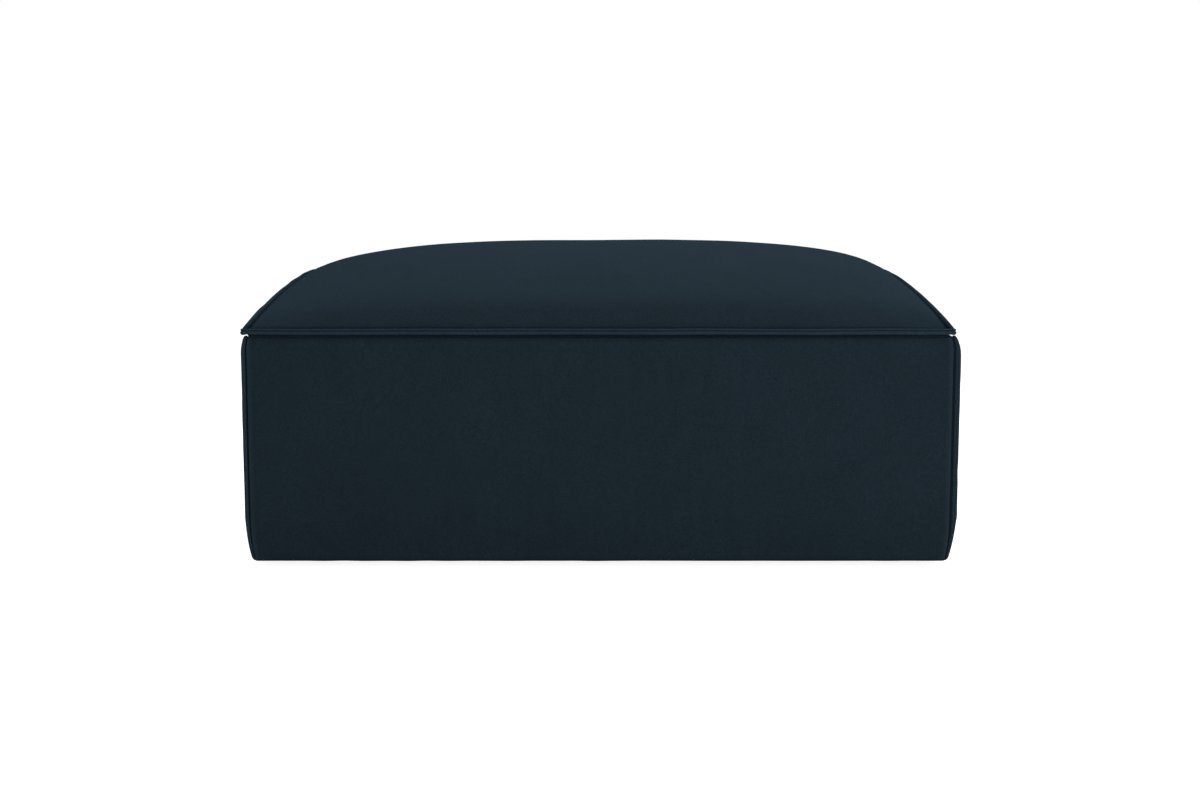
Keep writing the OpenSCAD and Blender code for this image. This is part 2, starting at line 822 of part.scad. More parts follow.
module cushion_flange() {
  color(VELVET)
    loft([
      for (q = [0 : 3], i = [0 : 4])
        let (a = 90 * q + 22.5 * i,
             x = (q == 0 || q == 3 ? 1 : -1) * seat_w,
             y = (q < 2 ? 1 : -1) * seat_d)
          [for (p = seam_lips)
            let (r = p[0] * square_reach(a - 90 * q))
              [x + r * cos(a), y + r * sin(a), seam_z + p[1]]]
    ], closed = true);
}

// Flange of an arched seam: it stands out between the top and end panels, turned up from level by
// arch_turn, starts near the corner, and ends on the flange of the bottom seam
arch_turn = 42;
arch_start = 0.994;
arch_step = 0.004;
arch_floor = seam_z + upper_lip_t + lay;
arch_vs = [for (v = spread(seat_cells[1])) v * arch_start];

// The arched seam's outward direction in its own upright plane, as [y, z]
function arch_dir(v) =
  let (a = top_pt(0, seam_z, 1, min(v + arch_step, 1)), b = top_pt(0, seam_z, 1, max(v - arch_step, -1)),
       y = a[1] - b[1], z = a[2] - b[2])
    [-z, y] / sqrt(y * y + z * z);

module arch_flange(s) {
  rings = [
    for (v = arch_vs)
      let (p = top_pt(0, seam_z, s, v), n = arch_dir(v),
           out = [s * cos(arch_turn), n[0] * sin(arch_turn), n[1] * sin(arch_turn)],
           side = [-s * sin(arch_turn), n[0] * cos(arch_turn), n[1] * cos(arch_turn)])
        [for (l = lips(arch_flange_w, arch_flange_t, 2 * lay))
            let (q = p + l[0] * out + s * l[1] * side) [q[0], q[1], max(q[2], arch_floor)]]
  ];
  color(VELVET)
    loft(rings);
}

module left_arch_flange() arch_flange(-1);
module right_arch_flange() arch_flange(1);

// Zip: tapes over the edges of the opening, two rows of teeth, and a slider whose post runs in the slit
tape_y = slit_w / 2 + row_w;

module zip_tapes() {
  color(LINING)
    for (sy = [-1, 1])
      translate([-zip_l / 2, zip_y + (sy > 0 ? tape_y : -tape_y - tape_w), tape_z])
        cube([zip_l, tape_w, tape_t]);
}

module zip_teeth() {
  color(PLASTIC)
    for (sy = [-1, 1])
      translate([-teeth_l / 2, zip_y + (sy > 0 ? slit_w / 2 : -tape_y), teeth_z])
        cube([teeth_l, row_w, row_t]);
}

// The slider: two plates, a post between them, and low lips along the sides that stop short of the tapes
module zip_slider() {
  post = slit_w - 2 * lay;
  lip = (tape_z - lay - under_z - slider_t) / 2;
  color(STEEL)
    translate([-zip_travel / 2, zip_y, under_z]) {
      for (z = [0, slider_h - slider_t])
        translate([-slider_l / 2, -slider_w / 2, z])
          cube([slider_l, slider_w, slider_t]);
      translate([-post, -post / 2, 0])
        cube([2 * post, post, slider_h]);
      for (sy = [-1, 1])
        translate([-slider_l / 2, sy * (slider_w - slider_t) / 2 - slider_t / 2, 0])
          cube([slider_l, slider_t, slider_t + lip]);
    }
}

front_bottom_rail();
rear_bottom_rail();
left_bottom_rail();
right_bottom_rail();
front_top_rail();
rear_top_rail();
left_top_rail();
right_top_rail();
corner_posts();
studs();
centre_stretcher();
corner_blocks();
edge_strips();
front_board();
rear_board();
left_board();
right_board();
springs();
spring_clips();
spring_ties();
spring_felt();
deck_foam();
front_pad();
rear_pad();
left_pad();
right_pad();
front_cover();
rear_cover();
left_cover();
right_cover();
front_left_flange();
front_right_flange();
rear_left_flange();
rear_right_flange();
deck_border();
deck_cloth();
dust_cover();
glides();
glide_screws();
cushion_core();
cushion_wadding();
cushion_under_wadding();
cushion_top_cover();
cushion_left_end();
cushion_right_end();
cushion_bottom_cover();
cushion_flange();
left_arch_flange();
right_arch_flange();
zip_tapes();
zip_teeth();
zip_slider();
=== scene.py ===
"""The looks of an upholstered footstool, dressed round its construction model.

A padded, velvet-covered base stands on hidden glides. A loose, crowned seat cushion with flanged seams
lies on its sprung deck. Lengths are in metres, +Z is up and the front faces -Y.
"""

import logging
import math
from dataclasses import dataclass
from enum import Enum
from itertools import product
from typing import Any, Callable, Sequence

import bmesh
import bpy
import numpy as np
from mathutils import Matrix, Vector


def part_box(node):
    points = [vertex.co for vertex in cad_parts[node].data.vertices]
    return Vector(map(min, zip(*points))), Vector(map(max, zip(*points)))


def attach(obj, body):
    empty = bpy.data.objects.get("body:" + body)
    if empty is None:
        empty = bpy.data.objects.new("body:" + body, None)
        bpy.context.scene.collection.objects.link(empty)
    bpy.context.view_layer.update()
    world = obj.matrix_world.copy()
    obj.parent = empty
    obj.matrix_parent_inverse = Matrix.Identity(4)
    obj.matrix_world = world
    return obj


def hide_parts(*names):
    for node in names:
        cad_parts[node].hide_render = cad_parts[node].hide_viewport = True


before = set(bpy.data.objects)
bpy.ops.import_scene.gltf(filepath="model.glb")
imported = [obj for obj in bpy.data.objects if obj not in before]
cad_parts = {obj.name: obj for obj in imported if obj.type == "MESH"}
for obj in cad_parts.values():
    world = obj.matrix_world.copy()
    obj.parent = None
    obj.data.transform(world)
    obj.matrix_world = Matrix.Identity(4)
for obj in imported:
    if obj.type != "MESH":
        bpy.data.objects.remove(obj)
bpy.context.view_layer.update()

MM = 0.001
# Clearance between soft pieces that lie on each other, and thickness of the velvet and the deck's cloth
LAY = 0.3 * MM
VELVET_T = 1.2 * MM
LINING_T = 0.9 * MM
# The loose cushion lies a little to the left of the base's middle
CUSHION_X = -2.5 * MM
# Name of the mesh attribute that paints light into the velvet at each point: 1 is full painted shade in a
# seam, -1 a full painted highlight
PAINTED_LIGHT_ATTRIBUTE = "painted_seam_shade"
# Shoulder and foot of the bow in which the base's covers swell along their length, and of the bow that
# the cushion's ends make
COVER_BOW = (4.0, 1.0)
ARCH_BOW = (1.6, 1.4)

log = logging.getLogger("footstool")


# Shapes

def bow(share: np.ndarray, shoulder: float, foot: float) -> np.ndarray:
    """A bow that is 1 in the middle and 0 at both ends.

    Args:
        share: places from -1 to 1.
        shoulder: how square the bow's shoulders are.
        foot: how steeply it starts at its ends.

    Returns:
        The bow's height at each place.
    """
    return np.maximum(0.0, 1.0 - np.abs(share) ** shoulder) ** (1.0 / foot)


def soft_least(first: np.ndarray, second: np.ndarray, sharpness: float) -> np.ndarray:
    """The smaller of two heights, with a soft edge where they cross.

    Args:
        first: the first height, which may be 0.
        second: the second height, above 0.
        sharpness: how tight the edge is.

    Returns:
        The softened smaller height.
    """
    return first * (1.0 + (first / second) ** sharpness) ** (-1.0 / sharpness)


def roll(distance: np.ndarray, reach: float, depth: np.ndarray | float) -> np.ndarray:
    """How deep a panel lies under its own surface where it rolls into a seam.

    Args:
        distance: distance from the seam.
        reach: distance at which the roll begins.
        depth: depth at the seam itself.

    Returns:
        The depth at each distance, as a quarter of an ellipse.
    """
    share = np.clip(1.0 - distance / reach, 0.0, 1.0)
    return depth * (1.0 - np.sqrt(1.0 - share ** 2))


def noise(points: np.ndarray, size: float, seed: int) -> np.ndarray:
    """Smooth unevenness from -1 to 1.

    Args:
        points: an array whose last axis holds x, y and z.
        size: width of one bump.
        seed: picks one of the patterns.

    Returns:
        The unevenness at each point.
    """
    cells = 32
    table = np.random.default_rng(seed).uniform(-1.0, 1.0, (cells, cells, cells))
    scaled = points / size + 0.37 * seed
    cell = np.floor(scaled).astype(int)
    part = scaled - cell
    ease = part * part * (3.0 - 2.0 * part)
    total = np.zeros(points.shape[:-1])
    for corner in product((0, 1), repeat=3):
        weight = np.ones(points.shape[:-1])
        for axis, side in enumerate(corner):
            weight = weight * (ease[..., axis] if side else 1.0 - ease[..., axis])
        i, j, k = (np.mod(cell[..., axis] + corner[axis], cells) for axis in range(3))
        total += weight * table[i, j, k]
    return total


def points_at(x: np.ndarray | float, y: np.ndarray | float, z: np.ndarray | float) -> np.ndarray:
    """Points from their coordinates, which are spread out to fit each other."""
    return np.stack(np.broadcast_arrays(x, y, z), axis=-1)


def puckers(along: np.ndarray, distance: np.ndarray, pitch: float, reach: float, seed: int) -> np.ndarray:
    """Short gathers square to a seam, which fade out away from it.

    Args:
        along: place along the seam.
        distance: distance from the seam.
        pitch: distance between gathers.
        reach: distance over which they fade.
        seed: picks one of the patterns.

    Returns:
        A height from -1 to 0 at each place.
    """
    at = points_at(along, 0.0, 0.0)
    phase = 2.0 * math.pi * along / pitch + 2.2 * noise(at, 4.0 * pitch, seed)
    strength = 0.55 + 0.45 * noise(at, 9.0 * pitch, seed + 1)
    return -strength * (0.5 + 0.5 * np.sin(phase)) * np.exp(-distance / reach)


def unit(vectors: np.ndarray) -> np.ndarray:
    """Each vector, made one long."""
    return vectors / np.maximum(np.linalg.norm(vectors, axis=-1, keepdims=True), 1e-12)


def normals(grid: np.ndarray) -> np.ndarray:
    """The normals of a grid of points, one for each point: its column step times its row step."""
    return unit(np.cross(np.gradient(grid, axis=1), np.gradient(grid, axis=0)))


def seam_distances(grid: np.ndarray) -> tuple[np.ndarray, np.ndarray, np.ndarray, np.ndarray]:
    """Distances over the surface from a grid's four rims.

    Args:
        grid: rows by columns by 3.

    Returns:
        The distance of each point from the first row, the last row, the first and the last column.
    """
    found = []
    for axis in (0, 1):
        lengths = np.linalg.norm(np.diff(grid, axis=axis), axis=-1)
        first = np.zeros_like(lengths.take([0], axis=axis))
        run = np.concatenate([first, np.cumsum(lengths, axis=axis)], axis=axis)
        found += [run, run.take([-1], axis=axis) - run]
    return tuple(found)


def blurred(field: np.ndarray, cells: int) -> np.ndarray:
    """A grid's values, averaged over a square of cells with soft edges.

    Args:
        field: rows by columns by 3.
        cells: half width of the square.

    Returns:
        The averaged values.
    """
    weights = np.cos(np.linspace(-0.5, 0.5, 2 * cells + 3)[1:-1] * math.pi) ** 2
    weights /= weights.sum()
    for axis in (0, 1):
        pad = [(cells, cells) if a == axis else (0, 0) for a in range(field.ndim)]
        wide = np.pad(field, pad, mode="reflect")
        length = field.shape[axis]
        field = sum(
            w * np.take(wide, range(k, k + length), axis=axis) for k, w in enumerate(weights)
        )
    return field


def steps(low: float, high: float, step: float) -> np.ndarray:
    """Even places from low to high, about step apart."""
    return np.linspace(low, high, max(2, round(abs(high - low) / step) + 1))


def seamed(length: float, step: float, reach: float, fine: int = 5) -> np.ndarray:
    """Places from seam to seam of a panel, closer together where it rolls into them.

    Args:
        length: the panel's length.
        step: distance between places in the middle.
        reach: width of the rolls.
        fine: number of places on each roll.

    Returns:
        Places from 0 to length.
    """
    edge = reach * (1.0 - np.cos(np.linspace(0.0, math.pi / 2, fine + 1)))[:-1]
    return np.concatenate([edge, steps(reach, length - reach, step), length - edge[::-1]])


def shares_by_length(curve: Callable[[np.ndarray], np.ndarray], step: float, reach: float) -> np.ndarray:
    """Places from -1 to 1 along a curve that lie at even lengths, closer together at both ends.

    Args:
        curve: gives the curve's points at places from -1 to 1.
        step: distance between points in the middle.
        reach: length of the rolls into the seams at both ends.

    Returns:
        The places.
    """
    many = -np.cos(np.linspace(0.0, math.pi, 6001))
    run = np.concatenate([[0.0], np.cumsum(np.linalg.norm(np.diff(curve(many), axis=0), axis=1))])
    return np.interp(seamed(run[-1], step, reach), run, many)


def round_section(corners: Sequence[tuple[float, float]], each: int) -> np.ndarray:
    """A closed round line through a section's corners.

    Args:
        corners: points of the section.
        each: number of places on each stretch between two corners.

    Returns:
        The line's points.
    """
    p = np.array(corners, float)
    t = (np.arange(each) / each)[None, :, None]
    a, b, c, d = (np.roll(p, s, axis=0)[:, None, :] for s in (1, 0, -1, -2))
    curve = b + 0.5 * t * (c - a + t * (2 * a - 5 * b + 4 * c - d + t * (3 * (b - c) + d - a)))
    return curve.reshape(-1, 2)


def level_ring(outline: np.ndarray, middle: np.ndarray, z: float) -> np.ndarray:
    """An outline laid level round a middle, at the height z."""
    return points_at(outline[:, 0] + middle[0], outline[:, 1] + middle[1], z)


def turned(points: np.ndarray, degrees: float) -> np.ndarray:
    """Points turned about the vertical axis."""
    a = math.radians(degrees)
    spin = np.array([[math.cos(a), -math.sin(a), 0.0], [math.sin(a), math.cos(a), 0.0], [0.0, 0.0, 1.0]])
    return points @ spin.T


def hand(side: int) -> str:
    """The name of the left side, -1, or the right side, 1."""
    return "left" if side < 0 else "right"


def span(node: str) -> tuple[np.ndarray, np.ndarray]:
    """The lowest and highest corner of a construction node."""
    low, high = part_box(node)
    return np.array(low), np.array(high)


# Meshes

def grid_faces(rows: int, cols: int, start: int = 0) -> list[list[int]]:
    """The quads of a grid whose first point has index start."""
    corner = start + (np.arange(rows - 1)[:, None] * cols + np.arange(cols - 1)[None, :]).ravel()
    return np.stack([corner, corner + 1, corner + cols + 1, corner + cols], axis=1).tolist()


def ring_faces(rings: int, count: int, closed: bool, start: int = 0) -> list[list[int]]:
    """The quads of a bar through rings of points, with end caps unless it is closed.

    Args:
        rings: number of rings.
        count: number of points on a ring.
        closed: True if the last ring joins the first.
        start: index of the first point.

    Returns:
        The faces, as indices of points.
    """
    r = np.arange(rings if closed else rings - 1)[:, None]
    k = np.arange(count)[None, :]
    here, on = start + r * count, start + ((r + 1) % rings) * count
    quad = np.stack([here + k, on + k, on + (k + 1) % count, here + (k + 1) % count], axis=-1)
    faces = quad.reshape(-1, 4).tolist()
    if not closed:
        last = start + (rings - 1) * count
        faces += [list(range(start, start + count)), list(range(last + count - 1, last - 1, -1))]
    return faces


def smooth_object(name: str, mesh: bpy.types.Mesh) -> bpy.types.Object:
    """Links a mesh to the scene as an object with smooth shading.

    Args:
        name: name of the object.
        mesh: its mesh.

    Returns:
        The new object.
    """
    mesh.shade_smooth()
    piece = bpy.data.objects.new(name, mesh)
    bpy.context.scene.collection.objects.link(piece)
    return piece


def link_mesh(name: str, points: np.ndarray, faces: Sequence, turn_out: bool = False) -> bpy.types.Object:
    """An object with smooth shading from points and faces.

    Args:
        name: name of the piece.
        points: an array whose last axis holds x, y and z.
        faces: indices of points for each face.
        turn_out: True to turn all faces of a closed mesh outwards.

    Returns:
        The new object, linked to the scene.
    """
    mesh = bpy.data.meshes.new(name)
    mesh.from_pydata(np.asarray(points).reshape(-1, 3).tolist(), [], faces)
    if turn_out:
        bm = bmesh.new()
        bm.from_mesh(mesh)
        bmesh.ops.recalc_face_normals(bm, faces=bm.faces)
        bm.to_mesh(mesh)
        bm.free()
    return smooth_object(name, mesh)


def thicken(piece: bpy.types.Object, thick: float) -> None:
    """Gives a piece of cloth its thickness, which is added inwards."""
    thickness = piece.modifiers.new("cloth thickness", "SOLIDIFY")
    thickness.thickness, thickness.offset = thick, -1.0


def cloth_mesh(name: str, grids: Sequence[np.ndarray], thick: float) -> bpy.types.Object:
    """A cloth of real thickness from one or more grids, which are its outer faces.

    Args:
        name: name of the piece.
        grids: grids of points, whose normals point out.
        thick: thickness, which is added inwards.

    Returns:
        The new object.
    """
    faces: list[list[int]] = []
    start = 0
    for grid in grids:
        faces += grid_faces(grid.shape[0], grid.shape[1], start)
        start += grid.shape[0] * grid.shape[1]
    piece = link_mesh(name, np.concatenate([grid.reshape(-1, 3) for grid in grids]), faces)
    thicken(piece, thick)
    return piece


def paint_pile_light(piece: bpy.types.Object, share: np.ndarray, edge_highlight: np.ndarray | float = 0.0) -> None:
    """Notes on a piece the painted light of its velvet at each of its first points: painted shade or a
    painted highlight.

    Args:
        piece: the piece, whose first points are those of the shares.
        share: how much painted shade the seams get, from 0 to 1.
        edge_highlight: how strong the painted highlight is where there is no painted shade, from 0 to 1.
    """
    share = np.clip(share, 0.0, 1.0)
    values = np.zeros(len(piece.data.vertices), np.float32)
    values[:share.size] = np.where(share > 0.0, share, -np.clip(edge_highlight, 0.0, 1.0)).ravel()
    piece.data.attributes.new(PAINTED_LIGHT_ATTRIBUTE, "FLOAT", "POINT").data.foreach_set("value", values)


def bars_mesh(name: str, bars: Sequence[np.ndarray], closed: bool = False) -> bpy.types.Object:
    """One piece from separate bars.

    Args:
        name: name of the piece.
        bars: for each bar its rings of points, rings by points by 3.
        closed: True if each bar's last ring joins its first.

    Returns:
        The new object.
    """
    faces: list[list[int]] = []
    start = 0
    for rings in bars:
        faces += ring_faces(rings.shape[0], rings.shape[1], closed, start)
        start += rings.shape[0] * rings.shape[1]
    points = np.concatenate([rings.reshape(-1, 3) for rings in bars])
    return link_mesh(name, points, faces, turn_out=True)


def shell_mesh(name: str, outer: np.ndarray, inner: np.ndarray) -> bpy.types.Object:
    """A closed piece from two grids of one size, with walls between their rims.

    Args:
        name: name of the piece.
        outer: the first grid of points, rows by columns by 3.
        inner: the second grid of points.

    Returns:
        The new object.
    """
    rows, cols = outer.shape[:2]
    count = rows * cols
    rim = np.concatenate([
        np.arange(cols), np.arange(1, rows) * cols + cols - 1,
        (rows - 1) * cols + np.arange(cols - 2, -1, -1), np.arange(rows - 2, 0, -1) * cols,
    ])
    walls = [[a, b, b + count, a + count] for a, b in zip(rim.tolist(), np.roll(rim, -1).tolist())]
    points = np.concatenate([outer.reshape(-1, 3), inner.reshape(-1, 3)])
    faces = grid_faces(rows, cols) + grid_faces(rows, cols, count) + walls
    return link_mesh(name, points, faces, turn_out=True)


def slab_mesh(name: str, low: np.ndarray, high: np.ndarray, round_r: float, cell: float,
              uneven: float, seed: int) -> bpy.types.Object:
    """A soft slab with rounded edges and slightly uneven faces.

    Args:
        name: name of the piece.
        low: its lowest corner.
        high: its highest corner.
        round_r: radius of its edges.
        cell: width of its faces' cells.
        uneven: depth of the unevenness, which only goes inwards.
        seed: picks one of the patterns.

    Returns:
        The new object.
    """
    size = high - low
    bm = bmesh.new()
    bmesh.ops.create_cube(bm, size=1.0)
    for vertex in bm.verts:
        vertex.co = Vector((low + high) / 2) + Vector(np.array(vertex.co) * size)
    bmesh.ops.bevel(bm, geom=bm.edges[:], offset=round_r, segments=3, profile=0.5, affect="EDGES")
    for axis in (0, 1):
        for at in steps(low[axis] + 2 * round_r, high[axis] - 2 * round_r, cell):
            place, across = Vector(), Vector()
            place[axis], across[axis] = at, 1.0
            whole = bm.verts[:] + bm.edges[:] + bm.faces[:]
            bmesh.ops.bisect_plane(bm, geom=whole, plane_co=place, plane_no=across)
    points = np.array([vertex.co for vertex in bm.verts])
    dent = uneven * (0.5 + 0.5 * noise(points, 4 * cell, seed))
    middle = (low[2] + high[2]) / 2
    for vertex, depth in zip(bm.verts, dent):
        vertex.co.z -= math.copysign(depth, vertex.co.z - middle)
    mesh = bpy.data.meshes.new(name)
    bm.to_mesh(mesh)
    bm.free()
    return smooth_object(name, mesh)


# Finishes

def linear(code: str) -> tuple[float, float, float, float]:
    """An sRGB hex colour as Blender's linear colour.

    Args:
        code: a # and six hex digits.

    Returns:
        Red, green, blue and an alpha of 1.
    """
    parts = [int(code[i:i + 2], 16) / 255 for i in (1, 3, 5)]
    curve = [c / 12.92 if c <= 0.04045 else ((c + 0.055) / 1.055) ** 2.4 for c in parts]
    return (*curve, 1.0)


def per_metre(feature_mm: float) -> float:
    """The scale at which a pattern has features of that many millimetres."""
    return 1.0 / (feature_mm * MM)


def empty_tree(owner: bpy.types.Material | bpy.types.World) -> bpy.types.NodeTree:
    """The node tree of a new material or world, with its first nodes taken out."""
    owner.use_nodes = True
    owner.node_tree.nodes.clear()
    return owner.node_tree


def add_node(tree: bpy.types.NodeTree, kind: str, values: dict[Any, Any] | None = None,
             links: dict[Any, Any] | None = None, **settings: Any) -> bpy.types.Node:
    """Adds a shader node with its settings, socket values and links.

    Args:
        tree: the material's node tree.
        kind: the node's type name without its ShaderNode prefix.
        values: values for input sockets, by name or index.
        links: output sockets to link to input sockets, by name or index.
        **settings: attributes of the node.

    Returns:
        The new node.
    """
    node = tree.nodes.new("ShaderNode" + kind)
    for key, value in settings.items():
        setattr(node, key, value)
    for key, value in (values or {}).items():
        node.inputs[key].default_value = value
    for key, output in (links or {}).items():
        tree.links.new(output, node.inputs[key])
    return node


@dataclass(frozen=True)
class Finish:
    """What all finishes share: a name, a dark and a light tone, and how the surface takes light."""

    name: str
    deep: str
    lit: str
    roughness: float
    shine: float = 0.5
    metallic: float = 0.0

    def build(self) -> bpy.types.Material:
        """Builds the material.

        Returns:
            The material, with its two tones mixed by the finish's own pattern.
        """
        material = bpy.data.materials.new(self.name)
        tree = empty_tree(material)
        shader = add_node(tree, "BsdfPrincipled", {
            "Roughness": self.roughness, "Specular IOR Level": self.shine, "Metallic": self.metallic,
        })
        add_node(tree, "OutputMaterial", links={"Surface": shader.outputs["BSDF"]})
        place = add_node(tree, "TexCoord").outputs["Object"]
        tone, normal = self.pattern(tree, place)
        colour = add_node(
            tree, "Mix", {6: linear(self.deep), 7: linear(self.lit)}, {0: tone}, data_type="RGBA",
        ).outputs[2]
        tree.links.new(colour, shader.inputs["Base Color"])
        tree.links.new(normal, shader.inputs["Normal"])
        self.tune(shader)
        return material

    def pattern(self, tree: bpy.types.NodeTree, place: Any) -> tuple[Any, Any]:
        """The finish's own pattern.

        Args:
            tree: the material's node tree.
            place: the socket with the surface's coordinates, in metres.

        Returns:
            A socket with the tone from 0 to 1, and a socket with the normal.
        """
        raise NotImplementedError

    def tune(self, shader: bpy.types.Node) -> None:
        """Sets what only this finish has on the shader."""


@dataclass(frozen=True)
class Velvet(Finish):
    """Woven polyester velvet: a short upright pile that eats light, with a soft sheen at grazing angles.

    The pile leans a little differently from hand to hand, which shades it in soft patches, and it keeps
    faint short marks from being brushed.
    """

    sheen: float = 0.1
    sheen_roughness: float = 0.5
    sheen_tint: str = "#7A9AAF"
    # Patches where the pile leans another way, about half a hand wide
    patch_mm: float = 45.0
    # Length and width of the marks where the pile is brushed
    brush_mm: tuple[float, float] = (11.0, 2.6)
    # The tufts stand 0.4 mm apart and are drawn five times as coarse, to show in the render
    tuft_mm: float = 2.0
    # Painted light: a near-black painted shade laid into the seams' grooves, and a lighter painted highlight
    # laid where the cloth rolls over an edge
    painted_seam_shade: str = "#0C1217"
    edge_highlight: str = "#34444F"

    def pattern(self, tree: bpy.types.NodeTree, place: Any) -> tuple[Any, Any]:
        """Soft patches, short marks of brushing and the grain of the pile."""
        patches = add_node(
            tree, "TexNoise", {"Scale": per_metre(self.patch_mm), "Detail": 5.0, "Roughness": 0.65},
            {"Vector": place},
        ).outputs["Fac"]
        tufts = add_node(
            tree, "TexNoise", {"Scale": per_metre(self.tuft_mm), "Detail": 2.0, "Roughness": 0.7},
            {"Vector": place},
        ).outputs["Fac"]
        turns = ((0.0, 0.8, 0.2), (0.1, -1.35, 0.5), (0.4, 0.25, 1.4))
        ridges = [self.brushed(tree, place, turn) for turn in turns]
        marks = ridges[0]
        for ridge in ridges[1:]:
            marks = add_node(tree, "Math", links={0: marks, 1: ridge}, operation="ADD").outputs[0]
        shade = add_node(
            tree, "MapRange", {"From Min": 0.3, "From Max": 0.7, "To Min": 0.4, "To Max": 0.54},
            {"Value": patches},
        ).outputs["Result"]
        grain = add_node(
            tree, "MapRange", {"From Min": 0.25, "From Max": 0.75, "To Min": -0.4, "To Max": 0.4},
            {"Value": tufts},
        ).outputs["Result"]
        tone = add_node(tree, "Math", links={0: shade, 1: grain}, operation="ADD").outputs[0]
        tone = add_node(
            tree, "Math", {1: 0.22}, {0: marks, 2: tone}, operation="MULTIPLY_ADD", use_clamp=True,
        ).outputs[0]
        pile = add_node(
            tree, "Bump", {"Strength": 0.5, "Distance": 0.3 * MM}, {"Height": tufts},
        ).outputs["Normal"]
        normal = add_node(
            tree, "Bump", {"Strength": 0.4, "Distance": 0.15 * MM}, {"Height": marks, "Normal": pile},
        ).outputs["Normal"]
        return tone, normal

    def brushed(self, tree: bpy.types.NodeTree, place: Any, turn: tuple[float, float, float]) -> Any:
        """Short marks of pile that was brushed one way, in some patches only.

        Args:
            tree: the material's node tree.
            place: the socket with the surface's coordinates.
            turn: direction of the marks, as turns about the three axes.

        Returns:
            A socket that is 0 on plain pile and up to 1 on a mark.
        """
        length, width = (size * MM for size in self.brush_mm)
        along = add_node(
            tree, "Mapping", {"Rotation": turn, "Scale": (length, width, width)}, {"Vector": place},
            vector_type="TEXTURE",
        ).outputs["Vector"]
        lines = add_node(
            tree, "TexNoise", {"Scale": 1.0, "Detail": 2.0, "Roughness": 0.5, "Distortion": 0.5},
            {"Vector": along},
        ).outputs["Fac"]
        ridge = add_node(
            tree, "MapRange", {"From Min": 0.5, "From Max": 0.72}, {"Value": lines},
        ).outputs["Result"]
        away = add_node(
            tree, "Mapping", {"Location": tuple(3.7 * angle for angle in turn)}, {"Vector": place},
        ).outputs["Vector"]
        where = add_node(
            tree, "TexNoise", {"Scale": per_metre(2.2 * self.patch_mm), "Detail": 1.0}, {"Vector": away},
        ).outputs["Fac"]
        patch = add_node(
            tree, "MapRange", {"From Min": 0.46, "From Max": 0.62}, {"Value": where},
        ).outputs["Result"]
        return add_node(tree, "Math", links={0: ridge, 1: patch}, operation="MULTIPLY").outputs[0]

    def tune(self, shader: bpy.types.Node) -> None:
        """Adds the pile's sheen, and mixes in painted shade for the seams and a painted highlight for rolled
        edges.
        """
        shader.inputs["Sheen Weight"].default_value = self.sheen
        shader.inputs["Sheen Roughness"].default_value = self.sheen_roughness
        shader.inputs["Sheen Tint"].default_value = linear(self.sheen_tint)
        tree = shader.id_data
        upright = shader.inputs["Base Color"].links[0].from_socket
        share = add_node(tree, "Attribute", attribute_name=PAINTED_LIGHT_ATTRIBUTE).outputs["Fac"]
        # Painted light: negative attribute values mix in the painted highlight, positive ones the near-black
        # painted shade
        lightened = add_node(
            tree, "Math", {1: -1.0}, {0: share}, operation="MULTIPLY", use_clamp=True,
        ).outputs[0]
        colour = add_node(
            tree, "Mix", {7: linear(self.edge_highlight)}, {0: lightened, 6: upright}, data_type="RGBA",
        ).outputs[2]
        colour = add_node(
            tree, "Mix", {7: linear(self.painted_seam_shade)}, {0: share, 6: colour}, data_type="RGBA",
        ).outputs[2]
        tree.links.new(colour, shader.inputs["Base Color"])


@dataclass(frozen=True)
class WovenCloth(Finish):
    """Plain-woven polyester cloth: threads over and under each other, which give a fine even net."""

    # Spacing of the threads, drawn two to three times as coarse as they are
    thread_mm: float = 1.2

    def pattern(self, tree: bpy.types.NodeTree, place: Any) -> tuple[Any, Any]:
        """Two sets of threads that cross."""
        # A band is one turn of a sine, which the wave pattern draws 20 times a unit, over its scale
        scale = per_metre(self.thread_mm) * 2.0 * math.pi / 20.0
        sets = [
            add_node(tree, "TexWave", {"Scale": scale, "Distortion": 0.6, "Detail": 1.0}, {"Vector": place},
                     bands_direction=axis).outputs["Fac"]
            for axis in ("X", "Y")
        ]
        weave = add_node(tree, "Math", links={0: sets[0], 1: sets[1]}, operation="MULTIPLY").outputs[0]
        fade = add_node(tree, "TexNoise", {"Scale": per_metre(30.0), "Detail": 4.0}, {"Vector": place})
        tone = add_node(
            tree, "Math", {1: 0.5}, {0: weave, 2: fade.outputs["Fac"]}, operation="MULTIPLY_ADD",
            use_clamp=True,
        ).outputs[0]
        normal = add_node(tree, "Bump", {"Strength": 0.5, "Distance": 0.3 * MM}, {"Height": weave})
        return tone, normal.outputs["Normal"]


